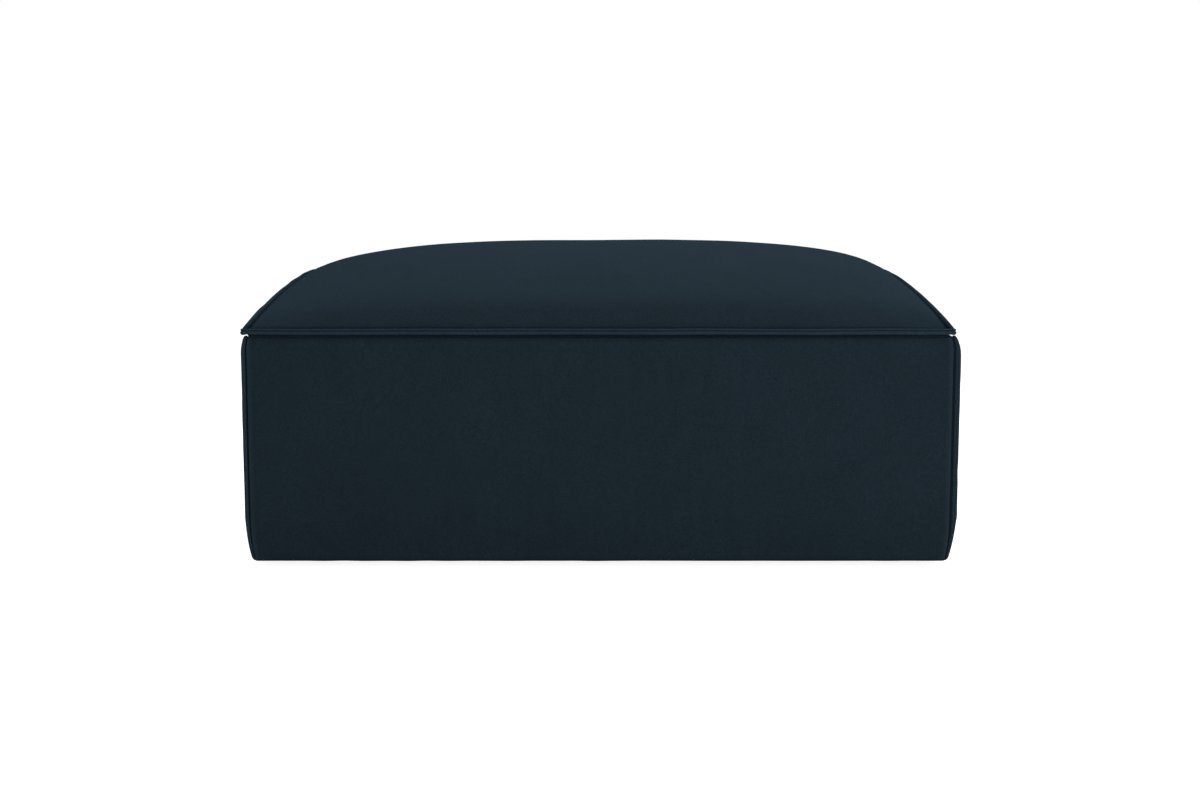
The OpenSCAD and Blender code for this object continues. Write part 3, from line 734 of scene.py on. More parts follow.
@dataclass(frozen=True)
class LaidFibres(Finish):
    """Fibres laid at random and bonded: spun-bonded cloth, needled felt or loose wadding."""

    # Length and width over which the fibres' tangle shows
    tangle_mm: tuple[float, float] = (4.0, 0.8)
    bump_mm: float = 0.4

    def pattern(self, tree: bpy.types.NodeTree, place: Any) -> tuple[Any, Any]:
        """Two tangles of fibres over soft clouds."""
        long, thin = (size * MM for size in self.tangle_mm)
        tangles = []
        for turn in (0.4, 1.9):
            along = add_node(
                tree, "Mapping", {"Rotation": (0.0, 0.0, turn), "Scale": (long, thin, thin)},
                {"Vector": place}, vector_type="TEXTURE",
            ).outputs["Vector"]
            tangles.append(add_node(
                tree, "TexNoise", {"Scale": 1.0, "Detail": 3.0, "Roughness": 0.6, "Distortion": 1.0},
                {"Vector": along},
            ).outputs["Fac"])
        fibres = add_node(tree, "Math", links={0: tangles[0], 1: tangles[1]}, operation="MAXIMUM").outputs[0]
        clouds = add_node(tree, "TexNoise", {"Scale": per_metre(25.0), "Detail": 3.0}, {"Vector": place})
        tone = add_node(
            tree, "Math", {1: 0.7}, {0: fibres, 2: clouds.outputs["Fac"]}, operation="MULTIPLY_ADD",
        ).outputs[0]
        tone = add_node(
            tree, "MapRange", {"From Min": 0.6, "From Max": 1.1}, {"Value": tone},
        ).outputs["Result"]
        normal = add_node(tree, "Bump", {"Strength": 0.6, "Distance": self.bump_mm * MM}, {"Height": fibres})
        return tone, normal.outputs["Normal"]


@dataclass(frozen=True)
class CutFoam(Finish):
    """Polyurethane foam cut from a block: open cells that leave a fine pitted face."""

    # The cells are about 0.6 mm wide and are drawn twice as wide
    cell_mm: float = 1.2

    def pattern(self, tree: bpy.types.NodeTree, place: Any) -> tuple[Any, Any]:
        """Small round cells."""
        cells = add_node(
            tree, "TexVoronoi", {"Scale": per_metre(self.cell_mm)}, {"Vector": place},
        ).outputs["Distance"]
        clouds = add_node(tree, "TexNoise", {"Scale": per_metre(40.0), "Detail": 3.0}, {"Vector": place})
        tone = add_node(
            tree, "Math", {1: 0.6}, {0: cells, 2: clouds.outputs["Fac"]}, operation="MULTIPLY_ADD",
            use_clamp=True,
        ).outputs[0]
        normal = add_node(tree, "Bump", {"Strength": 0.5, "Distance": 0.5 * MM}, {"Height": cells})
        return tone, normal.outputs["Normal"]


class GrainRun(Enum):
    """The axis that the grain of a board runs along."""

    ALONG_X = "X"
    ALONG_Y = "Y"
    UPRIGHT = "Z"


@dataclass(frozen=True)
class SawnPine(Finish):
    """Planed pine: yellow early wood between narrow darker late-wood lines that wander along the board."""

    run: GrainRun = GrainRun.ALONG_X
    # Distance between growth rings, and how far they keep their shape along the board
    ring_mm: float = 4.0
    reach_mm: float = 260.0

    def pattern(self, tree: bpy.types.NodeTree, place: Any) -> tuple[Any, Any]:
        """Growth rings cut lengthways, with fine pores."""
        ring, reach = self.ring_mm * MM, self.reach_mm * MM
        scale = tuple(reach if axis == self.run.value else ring * 6.0 for axis in "XYZ")
        stretched = add_node(
            tree, "Mapping", {"Scale": scale}, {"Vector": place}, vector_type="TEXTURE",
        ).outputs["Vector"]
        field = add_node(
            tree, "TexNoise", {"Scale": 1.0, "Detail": 1.5, "Distortion": 0.3}, {"Vector": stretched},
        ).outputs["Fac"]
        rings = add_node(tree, "Math", {1: 14.0}, {0: field}, operation="MULTIPLY").outputs[0]
        rings = add_node(tree, "Math", links={0: rings}, operation="FRACT").outputs[0]
        rings = add_node(tree, "Math", {1: 2.5}, {0: rings}, operation="POWER").outputs[0]
        thin = tuple(12.0 * MM if axis == self.run.value else 0.7 * MM for axis in "XYZ")
        streaks = add_node(
            tree, "Mapping", {"Scale": thin}, {"Vector": place}, vector_type="TEXTURE",
        ).outputs["Vector"]
        pores = add_node(tree, "TexNoise", {"Scale": 1.0, "Detail": 2.0}, {"Vector": streaks}).outputs["Fac"]
        tone = add_node(
            tree, "Math", {1: 0.35}, {0: pores, 2: rings}, operation="MULTIPLY_ADD", use_clamp=True,
        ).outputs[0]
        normal = add_node(tree, "Bump", {"Strength": 0.3, "Distance": 0.2 * MM}, {"Height": tone})
        return tone, normal.outputs["Normal"]


@dataclass(frozen=True)
class PressedBoard(Finish):
    """Hardboard: pressed wood fibre, smooth and brown with darker flecks."""

    fleck_mm: float = 1.4

    def pattern(self, tree: bpy.types.NodeTree, place: Any) -> tuple[Any, Any]:
        """Flecks of fibre on soft clouds."""
        flecks = add_node(
            tree, "TexNoise", {"Scale": per_metre(self.fleck_mm), "Detail": 3.0, "Roughness": 0.7},
            {"Vector": place},
        ).outputs["Fac"]
        tone = add_node(
            tree, "MapRange", {"From Min": 0.35, "From Max": 0.65}, {"Value": flecks},
        ).outputs["Result"]
        normal = add_node(tree, "Bump", {"Strength": 0.25, "Distance": 0.15 * MM}, {"Height": flecks})
        return tone, normal.outputs["Normal"]


@dataclass(frozen=True)
class DrawnMetal(Finish):
    """Drawn, stamped or cast metal: faint lines from the die, and small stains of oil or plating."""

    mark_mm: float = 2.0
    stain_mm: float = 14.0

    def pattern(self, tree: bpy.types.NodeTree, place: Any) -> tuple[Any, Any]:
        """Stains for the tone and fine marks for the normal."""
        stains = add_node(
            tree, "TexNoise", {"Scale": per_metre(self.stain_mm), "Detail": 5.0, "Roughness": 0.6},
            {"Vector": place},
        ).outputs["Fac"]
        tone = add_node(
            tree, "MapRange", {"From Min": 0.35, "From Max": 0.65}, {"Value": stains},
        ).outputs["Result"]
        marks = add_node(
            tree, "TexNoise", {"Scale": per_metre(self.mark_mm), "Detail": 2.0}, {"Vector": place},
        ).outputs["Fac"]
        normal = add_node(tree, "Bump", {"Strength": 0.2, "Distance": 0.05 * MM}, {"Height": marks})
        return tone, normal.outputs["Normal"]


@dataclass(frozen=True)
class MouldedPlastic(Finish):
    """Injection-moulded plastic with a fine spark-eroded grain from the mould."""

    # The grain is 0.15 mm wide and is drawn four times as coarse
    grain_mm: float = 0.6

    def pattern(self, tree: bpy.types.NodeTree, place: Any) -> tuple[Any, Any]:
        """A fine even grain with slight wear."""
        grain = add_node(
            tree, "TexNoise", {"Scale": per_metre(self.grain_mm), "Detail": 1.0}, {"Vector": place},
        ).outputs["Fac"]
        wear = add_node(tree, "TexNoise", {"Scale": per_metre(9.0), "Detail": 6.0, "Roughness": 0.7},
                        {"Vector": place}).outputs["Fac"]
        tone = add_node(
            tree, "MapRange", {"From Min": 0.4, "From Max": 0.75}, {"Value": wear},
        ).outputs["Result"]
        normal = add_node(tree, "Bump", {"Strength": 0.3, "Distance": 0.08 * MM}, {"Height": grain})
        return tone, normal.outputs["Normal"]


VELVET = Velvet("polyester_velvet", "#151E24", "#202B33", roughness=0.95, shine=0.0)
# A lighter copy of the velvet for all the flanges: a painted highlight on their lips
HIGHLIT_VELVET = Velvet("polyester_velvet_at_folds", "#1A262E", "#27353F", roughness=0.95, shine=0.0)
DECK_LINING = WovenCloth("deck_lining_weave", "#101317", "#20262D", roughness=0.85, shine=0.2)
SPUN_BOND = LaidFibres("spun_bonded_dust_cloth", "#0B0C0D", "#24272A", roughness=0.8, shine=0.25)
WADDING = LaidFibres(
    "polyester_wadding", "#D6D6D2", "#F4F4F1", roughness=0.95, shine=0.1, tangle_mm=(9.0, 1.6), bump_mm=1.2
)
FELT = LaidFibres("needled_felt", "#5E5A56", "#97938D", roughness=0.95, shine=0.1, tangle_mm=(5.0, 1.0))
FOAM = CutFoam("cut_polyurethane_foam", "#D9CB98", "#EFE6C2", roughness=0.95, shine=0.1)
PINE_X, PINE_Y, PINE_Z = (
    SawnPine(f"planed_pine_{run.name.lower()}", "#D9B27C", "#A97A45", roughness=0.6, shine=0.35, run=run)
    for run in GrainRun
)
HARDBOARD = PressedBoard("oiled_hardboard", "#6A4327", "#8B5E3A", roughness=0.55, shine=0.4)
SPRING_STEEL = DrawnMetal("oil_tempered_spring_wire", "#6E7074", "#A4A6AA", roughness=0.38, metallic=1.0)
SCREW_STEEL = DrawnMetal("zinc_plated_steel", "#A9ABAE", "#D2D4D6", roughness=0.3, metallic=1.0)
GLIDE_PLASTIC = MouldedPlastic("moulded_polypropylene", "#141416", "#26262A", roughness=0.5)
ZIP_TAPE = WovenCloth("zip_tape_weave", "#0E1114", "#1D2228", roughness=0.85, shine=0.2, thread_mm=0.9)
ZIP_NYLON = MouldedPlastic("moulded_nylon_teeth", "#14171B", "#252A30", roughness=0.4)
ZIP_METAL = DrawnMetal("lacquered_zinc_slider", "#1C1E21", "#34373B", roughness=0.35, metallic=0.6)


class Body(Enum):
    """The parts of the footstool that move by themselves."""

    BASE = "base"
    CUSHION = "seat_cushion"
    SLIDER = "zip_slider"


class Workshop:
    """Keeps the materials that are made once, and puts each finished piece in its place."""

    def __init__(self) -> None:
        """Starts with no materials."""
        self.materials: dict[str, bpy.types.Material] = {}

    def material(self, finish: Finish) -> bpy.types.Material:
        """The material of a finish, built when it is first asked for."""
        if finish.name not in self.materials:
            self.materials[finish.name] = finish.build()
        return self.materials[finish.name]

    def fit(self, piece: bpy.types.Object, finish: Finish, slot: str, body: Body, *nodes: str,
            fill: float | None = None) -> None:
        """Finishes a piece, sets it on its body and takes away the nodes that it stands for.

        Args:
            piece: the new piece.
            finish: its finish.
            slot: the record's material slot for the piece; not used.
            body: the body that it moves with.
            *nodes: construction nodes that it replaces.
            fill: how full it is if it is padded, from 0 to 1; not used.
        """
        piece.data.materials.clear()
        piece.data.materials.append(self.material(finish))
        if body is not Body.BASE:
            piece.data.transform(Matrix.Translation((CUSHION_X, 0.0, 0.0)))
        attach(piece, body.value)
        if nodes:
            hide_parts(*nodes)
        log.info("%s: %d points, on %s", piece.name, len(piece.data.vertices), body.value)

    def keep(self, node: str, finish: Finish, edge_r: float = 0.0) -> None:
        """Finishes a construction node that stays.

        Args:
            node: its name.
            finish: its finish.
            edge_r: radius to which its sharp edges are broken, or 0.
        """
        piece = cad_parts[node]
        piece.data.materials.clear()
        piece.data.materials.append(self.material(finish))
        if edge_r:
            broken = piece.modifiers.new("broken edges", "BEVEL")
            broken.width = edge_r
            broken.segments = 2
            broken.limit_method = "ANGLE"
            broken.angle_limit = math.radians(40.0)
        log.info("%s: kept with %s", node, finish.name)


class ClothPress:
    """Blows up panels of cloth between their seams, all at once, and returns how they come to lie."""

    def __init__(self, frames: int = 20, pressure: float = 4.0, slack: float = 0.003) -> None:
        """Sets how the panels are blown up.

        Args:
            frames: number of steps.
            pressure: pressure from inside.
            slack: extra cloth, as a share of its length.
        """
        self.frames = frames
        self.pressure = pressure
        self.slack = slack
        self.panels: dict[str, tuple[bpy.types.Object, np.ndarray]] = {}

    def add(self, name: str, grid: np.ndarray, held: np.ndarray) -> None:
        """Lays a panel ready.

        Args:
            name: the panel's name.
            grid: its points, rows by columns by 3.
            held: True for each point that its seams hold.
        """
        rows, cols = grid.shape[:2]
        panel = link_mesh(name + "_pressed", grid, grid_faces(rows, cols))
        group = panel.vertex_groups.new(name="seams")
        group.add(np.flatnonzero(held.ravel()).tolist(), 1.0, "REPLACE")
        cloth = panel.modifiers.new("cloth", "CLOTH")
        settings = cloth.settings
        settings.quality = 5
        settings.mass = 0.25
        settings.tension_stiffness = 20.0
        settings.compression_stiffness = 20.0
        settings.shear_stiffness = 8.0
        settings.bending_stiffness = 0.35
        settings.vertex_group_mass = group.name
        settings.shrink_min = -self.slack
        settings.use_pressure = True
        settings.uniform_pressure_force = self.pressure
        settings.effector_weights.gravity = 0.0
        cloth.collision_settings.use_collision = False
        cloth.point_cache.frame_end = self.frames
        self.panels[name] = (panel, grid)

    def run(self) -> None:
        """Steps through the frames, so that all panels are blown up together."""
        if self.panels:
            for number in range(1, self.frames + 1):
                bpy.context.scene.frame_set(number)

    def wrinkles(self, name: str, smooth_cells: int, cap: float) -> np.ndarray | float:
        """The folds that a panel got, without its overall swelling.

        Args:
            name: the panel's name.
            smooth_cells: folds narrower than about twice as many cells are kept.
            cap: the furthest that a point may move.

        Returns:
            How far each point moves, or 0 if the panel wasn't pressed.
        """
        if name not in self.panels:
            return 0.0
        panel, grid = self.panels.pop(name)
        lain = panel.evaluated_get(bpy.context.evaluated_depsgraph_get()).data
        points = np.empty(len(lain.vertices) * 3)
        lain.vertices.foreach_get("co", points)
        bpy.data.objects.remove(panel)
        moved = points.reshape(grid.shape) - grid
        folds = moved - blurred(moved, smooth_cells)
        length = np.linalg.norm(folds, axis=-1, keepdims=True)
        log.info("%s: pressed out by %.1f mm, folds up to %.1f mm", name,
                 1000 * np.linalg.norm(moved, axis=-1).max(), 1000 * length.max())
        return folds * np.minimum(1.0, cap / np.maximum(length, 1e-9))


def lip_section(width: float, upper: float, lower: float, root: float, neck: float, pinch: float,
                groove: float) -> np.ndarray:
    """The section of a flanged seam: two folded lips with a groove between them.

    Args:
        width: how far the lips stand out from the seam.
        upper: thickness of the upper lip.
        lower: thickness of the lower lip.
        root: how far inside the seam the section starts.
        neck: thickness near the seam, as a share of the lips' own.
        pinch: share of the width over which the lips stay that thin.
        groove: depth of the groove between the lips' edges.

    Returns:
        The section's points, as [outward, up].
    """
    lip = [(0.5 * pinch, neck), (pinch, 1.1 * neck)]
    # Beyond the thin part: share of the width that is left, and share of the thickness
    rounding = ((0.3, 0.8), (0.6, 1.0), (0.86, 0.88), (1.0, 0.5))
    lip += [(pinch + share * (1 - pinch), t) for share, t in rounding]
    lip.append((0.985, 0.2))
    below = [(-root, -0.2 * lower)] + [(out * width, -t * lower) for out, t in lip]
    above = [(out * width, t * upper) for out, t in reversed(lip)] + [(-root, 0.2 * upper)]
    return round_section(below + [(width - groove, 0.0)] + above, 3)


def lip_seam_shade(section: np.ndarray, seam: float, groove_shade: float = 0.8) -> np.ndarray:
    """How much painted shade a flanged seam gets round its section, at the stitches and in the groove between
    the lips.

    Args:
        section: the section's points, as [outward, up].
        seam: how far out from the stitches the painted shade is full.
        groove_shade: how much painted shade the groove between the lips gets.

    Returns:
        The share at each point of the section.
    """
    # Painted shade: full inside the seam, fading over a millimetre outside it, plus a band in the groove
    # between the lips
    fade = 1 * MM
    held = np.clip(1.0 - (section[:, 0] - seam) / fade, 0.0, 1.0)
    outer = section[:, 0] > 0.75 * section[:, 0].max()
    groove = np.exp(-(section[:, 1] / (0.5 * MM)) ** 2) * outer
    return np.maximum(held, groove_shade * groove)


def swept(section: np.ndarray, at: np.ndarray, out: np.ndarray, up: np.ndarray,
          width: np.ndarray | float = 1.0, height: np.ndarray | float = 1.0) -> np.ndarray:
    """Rings of a section carried along a seam.

    Args:
        section: the section's points, as [outward, up].
        at: places along the seam.
        out: the outward direction at each place.
        up: the upward direction at each place.
        width: scale of the section outward at each place, or at each place and point.
        height: scale of the section upward, in the same way.

    Returns:
        The rings, places by points by 3.
    """
    wide, tall = (
        np.reshape(scale, (len(scale) if np.ndim(scale) else 1, -1, 1)) for scale in (width, height)
    )
    outward = wide * section[None, :, :1] * out[:, None, :]
    return at[:, None, :] + outward + tall * section[None, :, 1:] * up[:, None, :]


class Side(Enum):
    """The base's sides, with how far the front is turned to make each one."""

    FRONT = ("front", 0)
    RIGHT = ("right", 90)
    REAR = ("rear", 180)
    LEFT = ("left", -90)

    @property
    def label(self) -> str:
        """The side's name."""
        return self.value[0]

    @property
    def turn(self) -> int:
        """Degrees by which the front is turned to become this side."""
        return self.value[1]

    @property
    def long(self) -> bool:
        """True for the front and the rear."""
        return self.turn % 180 == 0


@dataclass
class Base:
    """The padded base: four velvet covers on foam pads, flanged corner seams and the hem underneath."""

    half_w: float
    half_d: float
    deck_z: float
    cover_top: float
    hem_z: float
    side_crown: float
    front_crown: float
    # Share of a panel's swell that is left at its top and bottom edges
    crown_hold: float = 0.25
    # How far the covers draw in at the deck's edge, and over which height
    top_draw: float = 3.5 * MM
    top_round: float = 22 * MM
    # How far they draw in at the bottom edge, over which height, and the radius of the fold there
    hem_draw: float = 5 * MM
    hem_round: float = 65 * MM
    fold_r: float = 4 * MM
    hem_w: float = 42 * MM
    # How deep and how wide the covers roll into the corner seams
    seam_depth: float = 2.5 * MM
    seam_reach: float = 2.6 * MM
    # Radius of the covers' tuck at the deck, and the height under the deck over which it holds them
    tuck_r: float = 2 * MM
    held_top: float = 6 * MM
    # How strong the painted highlight is where the covers roll into the corner seams
    edge_highlight_strength: float = 0.5
    # Length of cloth in the tuck at the deck that gets painted shade
    tuck_len: float = 4.7 * MM
    # How far the corner flanges stand out, and the thickness of one lip
    flange_w: float = 6.2 * MM
    flange_t: float = 2.2 * MM
    # How far they rise past the covers, up to the cushion's flange
    flange_rise: float = 4.2 * MM
    # Shares of a corner flange's width that are left at the hem and at the deck, and the height over
    # which it narrows towards the deck
    hem_share: float = 0.25
    deck_share: float = 0.05
    deck_taper: float = 7 * MM
    # By which share the lips of the right corner seams are wider than those of the left ones
    right_extra: float = 0.5
    # For the left and the right corner seams: how strong the painted highlight on the lips is, how much
    # painted shade the groove between them gets, and a scale on all their painted shade
    left_lip_light: tuple[float, float, float] = (0.1, 0.8, 1.0)
    right_lip_light: tuple[float, float, float] = (0.5, 0.45, 0.6)
    # Part of a corner flange over which its lips lie thin, before their round edges
    flange_neck: float = 0.6 * MM
    # Width of the strip beside a corner seam that gets painted shade
    seam_shade_w: float = 1.2 * MM
    # Distance between points on the covers
    cell: float = 5 * MM

    @classmethod
    def measured(cls) -> "Base":
        """The base with the sizes of the construction."""
        front, left = span("front_cover"), span("left_cover")
        half_w = front[1][0] + LAY / 2
        half_d = left[1][1] + LAY / 2
        return cls(
            half_w=half_w, half_d=half_d, deck_z=span("deck_border")[1][2], cover_top=front[1][2],
            hem_z=front[0][2], side_crown=-left[0][0] - half_w, front_crown=-front[0][1] - half_d,
        )

    def lengths(self, side: Side) -> tuple[float, float, float]:
        """Half length, reach and swell of a side."""
        if side.long:
            return self.half_w, self.half_d, self.front_crown
        return self.half_d, self.half_w, self.side_crown

    def draw_in(self, z: np.ndarray) -> np.ndarray:
        """How far a cover draws in at each height."""
        top = np.clip((z - self.deck_z + self.top_round) / self.top_round, 0.0, 1.0)
        low = np.clip((self.hem_z + self.hem_round - z) / self.hem_round, 0.0, 1.0)
        return self.top_draw * (1.0 - np.sqrt(1.0 - top ** 2)) + self.hem_draw * low ** 2.6

    def swell_share(self, z: np.ndarray) -> np.ndarray:
        """How much of its swell a cover has at each height."""
        share = np.abs(2.0 * (z - self.hem_z) / (self.deck_z - self.hem_z) - 1.0)
        return 1.0 - (1.0 - self.crown_hold) * share ** 3

    def outside(self) -> np.ndarray:
        """The outside of a cover, from its seam at the deck down, round the fold and under to the hem's edge.

        Returns:
            Rows of [distance out from the corner seams, height, share of the swell, 1 on the side and 0
            underneath].
        """
        lean = 25.0
        draw = self.draw_in(np.array(self.cover_top))
        share_top = float(self.swell_share(np.array(self.cover_top)))
        turns = np.radians([200.0, 175.0, 150.0, 125.0, 100.0, 75.0, 50.0])
        centre_out = -draw - self.tuck_r * math.cos(math.radians(lean))
        centre_z = self.cover_top - self.tuck_r * math.sin(math.radians(lean))
        tuck = np.stack([
            centre_out + self.tuck_r * np.cos(turns), centre_z + self.tuck_r * np.sin(turns),
            np.full_like(turns, share_top), np.ones_like(turns),
        ], axis=1)
        fold_z = self.hem_z + self.fold_r
        z = steps(self.cover_top, fold_z, self.cell)
        side = np.stack([-self.draw_in(z), z, self.swell_share(z), np.ones_like(z)], axis=1)
        fold_out = -self.draw_in(np.array(fold_z)) - self.fold_r
        share_low = float(self.swell_share(np.array(self.hem_z)))
        bend = np.radians([15.0, 30.0, 45.0, 60.0, 75.0, 90.0])
        fold = np.stack([
            fold_out + self.fold_r * np.cos(bend), fold_z - self.fold_r * np.sin(bend),
            share_low * np.cos(bend), np.cos(bend),
        ], axis=1)
        under = steps(fold_out, -self.hem_w, self.cell)[1:]
        hem = np.stack([under, np.full_like(under, self.hem_z), 0 * under, 0 * under], axis=1)
        return np.concatenate([tuck, side, fold, hem])

    def panel(self, side: Side) -> tuple[np.ndarray, np.ndarray]:
        """A cover before its folds, as if it were the front.

        Args:
            side: the side that it covers.

        Returns:
            Its points, and True for each point that its seams and staples hold.
        """
        half, reach, crown = self.lengths(side)
        line = self.outside()
        full = half - self.seam_depth - LAY / 2
        across = seamed(2 * full, self.cell, self.seam_reach) - full
        u = (across / full)[None, :]
        out, z, share, upright = (line[:, i:i + 1] for i in range(4))
        # The hem is cut on the mitre, so it reaches the corners that the sides roll away from
        x = u * (full + out + (1.0 - upright) * self.seam_depth)
        inset = upright * roll(full - np.abs(across)[None, :], self.seam_reach, self.seam_depth)
        y = -(reach + out + crown * share * bow(u, *COVER_BOW) - inset)
        grid = points_at(x, y, z)
        # The grid's rows run down, so its normals point out
        held = (full - np.abs(across)[None, :] < self.seam_reach) | (z > self.cover_top - self.held_top)
        return grid, held | (upright < 1.0) | (z < self.hem_z + 2 * self.fold_r)

    def cover(self, side: Side, press: ClothPress) -> bpy.types.Object:
        """A velvet cover with its folds and gathers.

        Args:
            side: the side that it covers.
            press: holds the pressed panel.

        Returns:
            The new piece.
        """
        grid, _ = self.panel(side)
        seed = 20 + 7 * list(Side).index(side)
        top, _, left, right = seam_distances(grid)
        facing = normals(grid)
        upright = np.clip((grid[..., 2] - self.hem_z) / self.fold_r, 0.0, 1.0)
        near_side = np.minimum(left, right)
        height = 0.7 * MM * noise(grid, 150 * MM, seed)
        height += 0.3 * MM * noise(grid, 50 * MM, seed + 1)
        height *= upright * np.clip(near_side / (30 * MM), 0.0, 1.0) * np.clip(top / (30 * MM), 0.0, 1.0)
        height += 0.9 * MM * puckers(grid[..., 0], top, 5.2 * MM, 3.5 * MM, seed + 2)
        height += 0.5 * MM * upright * puckers(grid[..., 0], top, 17 * MM, 14 * MM, seed + 3)
        height += 0.4 * MM * upright * puckers(grid[..., 2], near_side, 13 * MM, 9 * MM, seed + 4)
        height += 0.3 * MM * (1 - upright) * noise(grid, 30 * MM, seed + 5)
        inner = np.clip(np.minimum(near_side, top) / (12 * MM), 0.0, 1.0) * upright
        shaped = grid + facing * height[..., None] + press.wrinkles(side.label, 8, 2 * MM) * inner[..., None]
        piece = cloth_mesh(f"{side.label}_cover_velvet", [turned(shaped, side.turn)], VELVET_T)
        # Painted light: painted shade in the corner seams and the tuck at the deck, and a painted highlight
        # in a band just beside the corner seams
        cover_seam_shade = np.maximum(1.1 - near_side / self.seam_shade_w, 1.0 - (top - self.tuck_len) / MM)
        edge_highlight = self.edge_highlight_strength * np.exp(-((near_side - 2 * self.seam_shade_w) / (1.7 * MM)) ** 2)
        paint_pile_light(piece, cover_seam_shade * upright, edge_highlight * upright)
        return piece

    def corner_flange(self, x_side: int, y_side: int) -> bpy.types.Object:
        """The flange of one corner seam, from the hem up to the deck.

        Args:
            x_side: -1 for a left corner and 1 for a right one.
            y_side: -1 for a front corner and 1 for a rear one.

        Returns:
            The new piece.
        """
        rise = steps(self.hem_z + 0.5 * MM, self.cover_top + self.flange_rise, 2.5 * MM)
        inset = self.draw_in(np.minimum(rise, self.cover_top - self.held_top)) + self.seam_depth
        at = np.stack([x_side * (self.half_w - inset), y_side * (self.half_d - inset), rise], axis=1)
        seed = 60 + 2 * x_side + y_side
        wave = 0.35 * MM * noise(at, 45 * MM, seed)
        out = np.tile(unit(np.array([[x_side, y_side, 0.0]])), (len(rise), 1))
        up = np.tile(unit(np.array([[-y_side, x_side, 0.0]])), (len(rise), 1))
        at = at + wave[:, None] * up
        low = self.hem_share + (1 - self.hem_share) * np.minimum(1.0, (rise - self.hem_z) / self.hem_round)
        near_deck = 1.0 - np.exp((rise - rise[-1]) / self.deck_taper)
        share = np.minimum(low, self.deck_share + (1 - self.deck_share) * near_deck)
        ends = np.sqrt(np.clip(np.minimum(rise - rise[0], rise[-1] - rise) / (3 * MM), 0.05, 1.0))
        root = self.seam_depth * math.sqrt(2.0)
        whole_w = self.flange_w + root
        pinch = (root + self.flange_neck) / whole_w
        section = lip_section(whole_w, self.flange_t, self.flange_t, 0.5 * MM, 0.25, pinch, 1.6 * MM)
        reach = (root + share * self.flange_w) / (root + self.flange_w)
        wider = 1.0 + max(x_side, 0) * self.right_extra * self.flange_w / whole_w * (share - self.deck_share)
        width = wider * reach * (1.0 + 0.04 * noise(at, 20 * MM, seed + 9))
        foot = np.maximum(ends, np.where(rise < self.hem_z + self.hem_round, 0.6, 1.0))
        rings = swept(section, at, out, up, width * foot, np.maximum(ends, 0.4))
        end = "front" if y_side < 0 else "rear"
        piece = bars_mesh(f"{end}_{hand(x_side)}_flange_velvet", [rings])
        # Painted light: painted shade at the seam and in the groove between the lips, and a painted highlight
        # on the rest of the lips
        edge_highlight, groove, seam_shade_strength = self.left_lip_light if x_side < 0 else self.right_lip_light
        painted_seam_shade = seam_shade_strength * lip_seam_shade(section, root + 0.5 * self.flange_neck, groove)
        paint_pile_light(piece, np.tile(painted_seam_shade, len(rings)), edge_highlight)
        return piece

    def pad(self, side: Side) -> bpy.types.Object:
        """The foam between a cover and its board.

        Args:
            side: the side that it pads.

        Returns:
            The new piece.
        """
        half, reach, crown = self.lengths(side)
        low, high = span(f"{side.label}_pad")
        z = np.concatenate([[low[2]], steps(low[2] + 1 * MM, high[2] - 1 * MM, 12 * MM), [high[2]]])[:, None]
        inside = VELVET_T + 2 * LAY
        out = -self.draw_in(z) - inside - self.fold_r * (z < self.hem_z + self.fold_r)
        u = steps(-1.0, 1.0, 0.02)[None, :]
        x = u * (half + out - 2 * self.seam_depth)
        y_face = -(reach + out + crown * self.swell_share(z) * bow(u, *COVER_BOW))
        axis = int(side.long)
        back = high[axis] if side in (Side.FRONT, Side.LEFT) else -low[axis]
        edge = np.minimum(1.0, np.minimum(z - low[2], high[2] - z) / (3 * MM))
        y_face = y_face + (1 - edge) * 2 * MM
        face, rear = points_at(x, y_face, z), points_at(x, back, z)
        return shell_mesh(f"{side.label}_pad_foam", turned(face, side.turn), turned(rear, side.turn))

    def build(self, shop: Workshop, press: ClothPress) -> None:
        """Makes the covers, the corner flanges and the pads."""
        for side in Side:
            cover, pad = self.cover(side, press), self.pad(side)
            shop.fit(cover, VELVET, "velvet", Body.BASE, f"{side.label}_cover", fill=0.95)
            shop.fit(pad, FOAM, "foam", Body.BASE, f"{side.label}_pad", fill=1.0)
        for x_side, y_side in product((-1, 1), repeat=2):
            flange = self.corner_flange(x_side, y_side)
            shop.fit(flange, HIGHLIT_VELVET, "velvet", Body.BASE, flange.name.removesuffix("_velvet"))


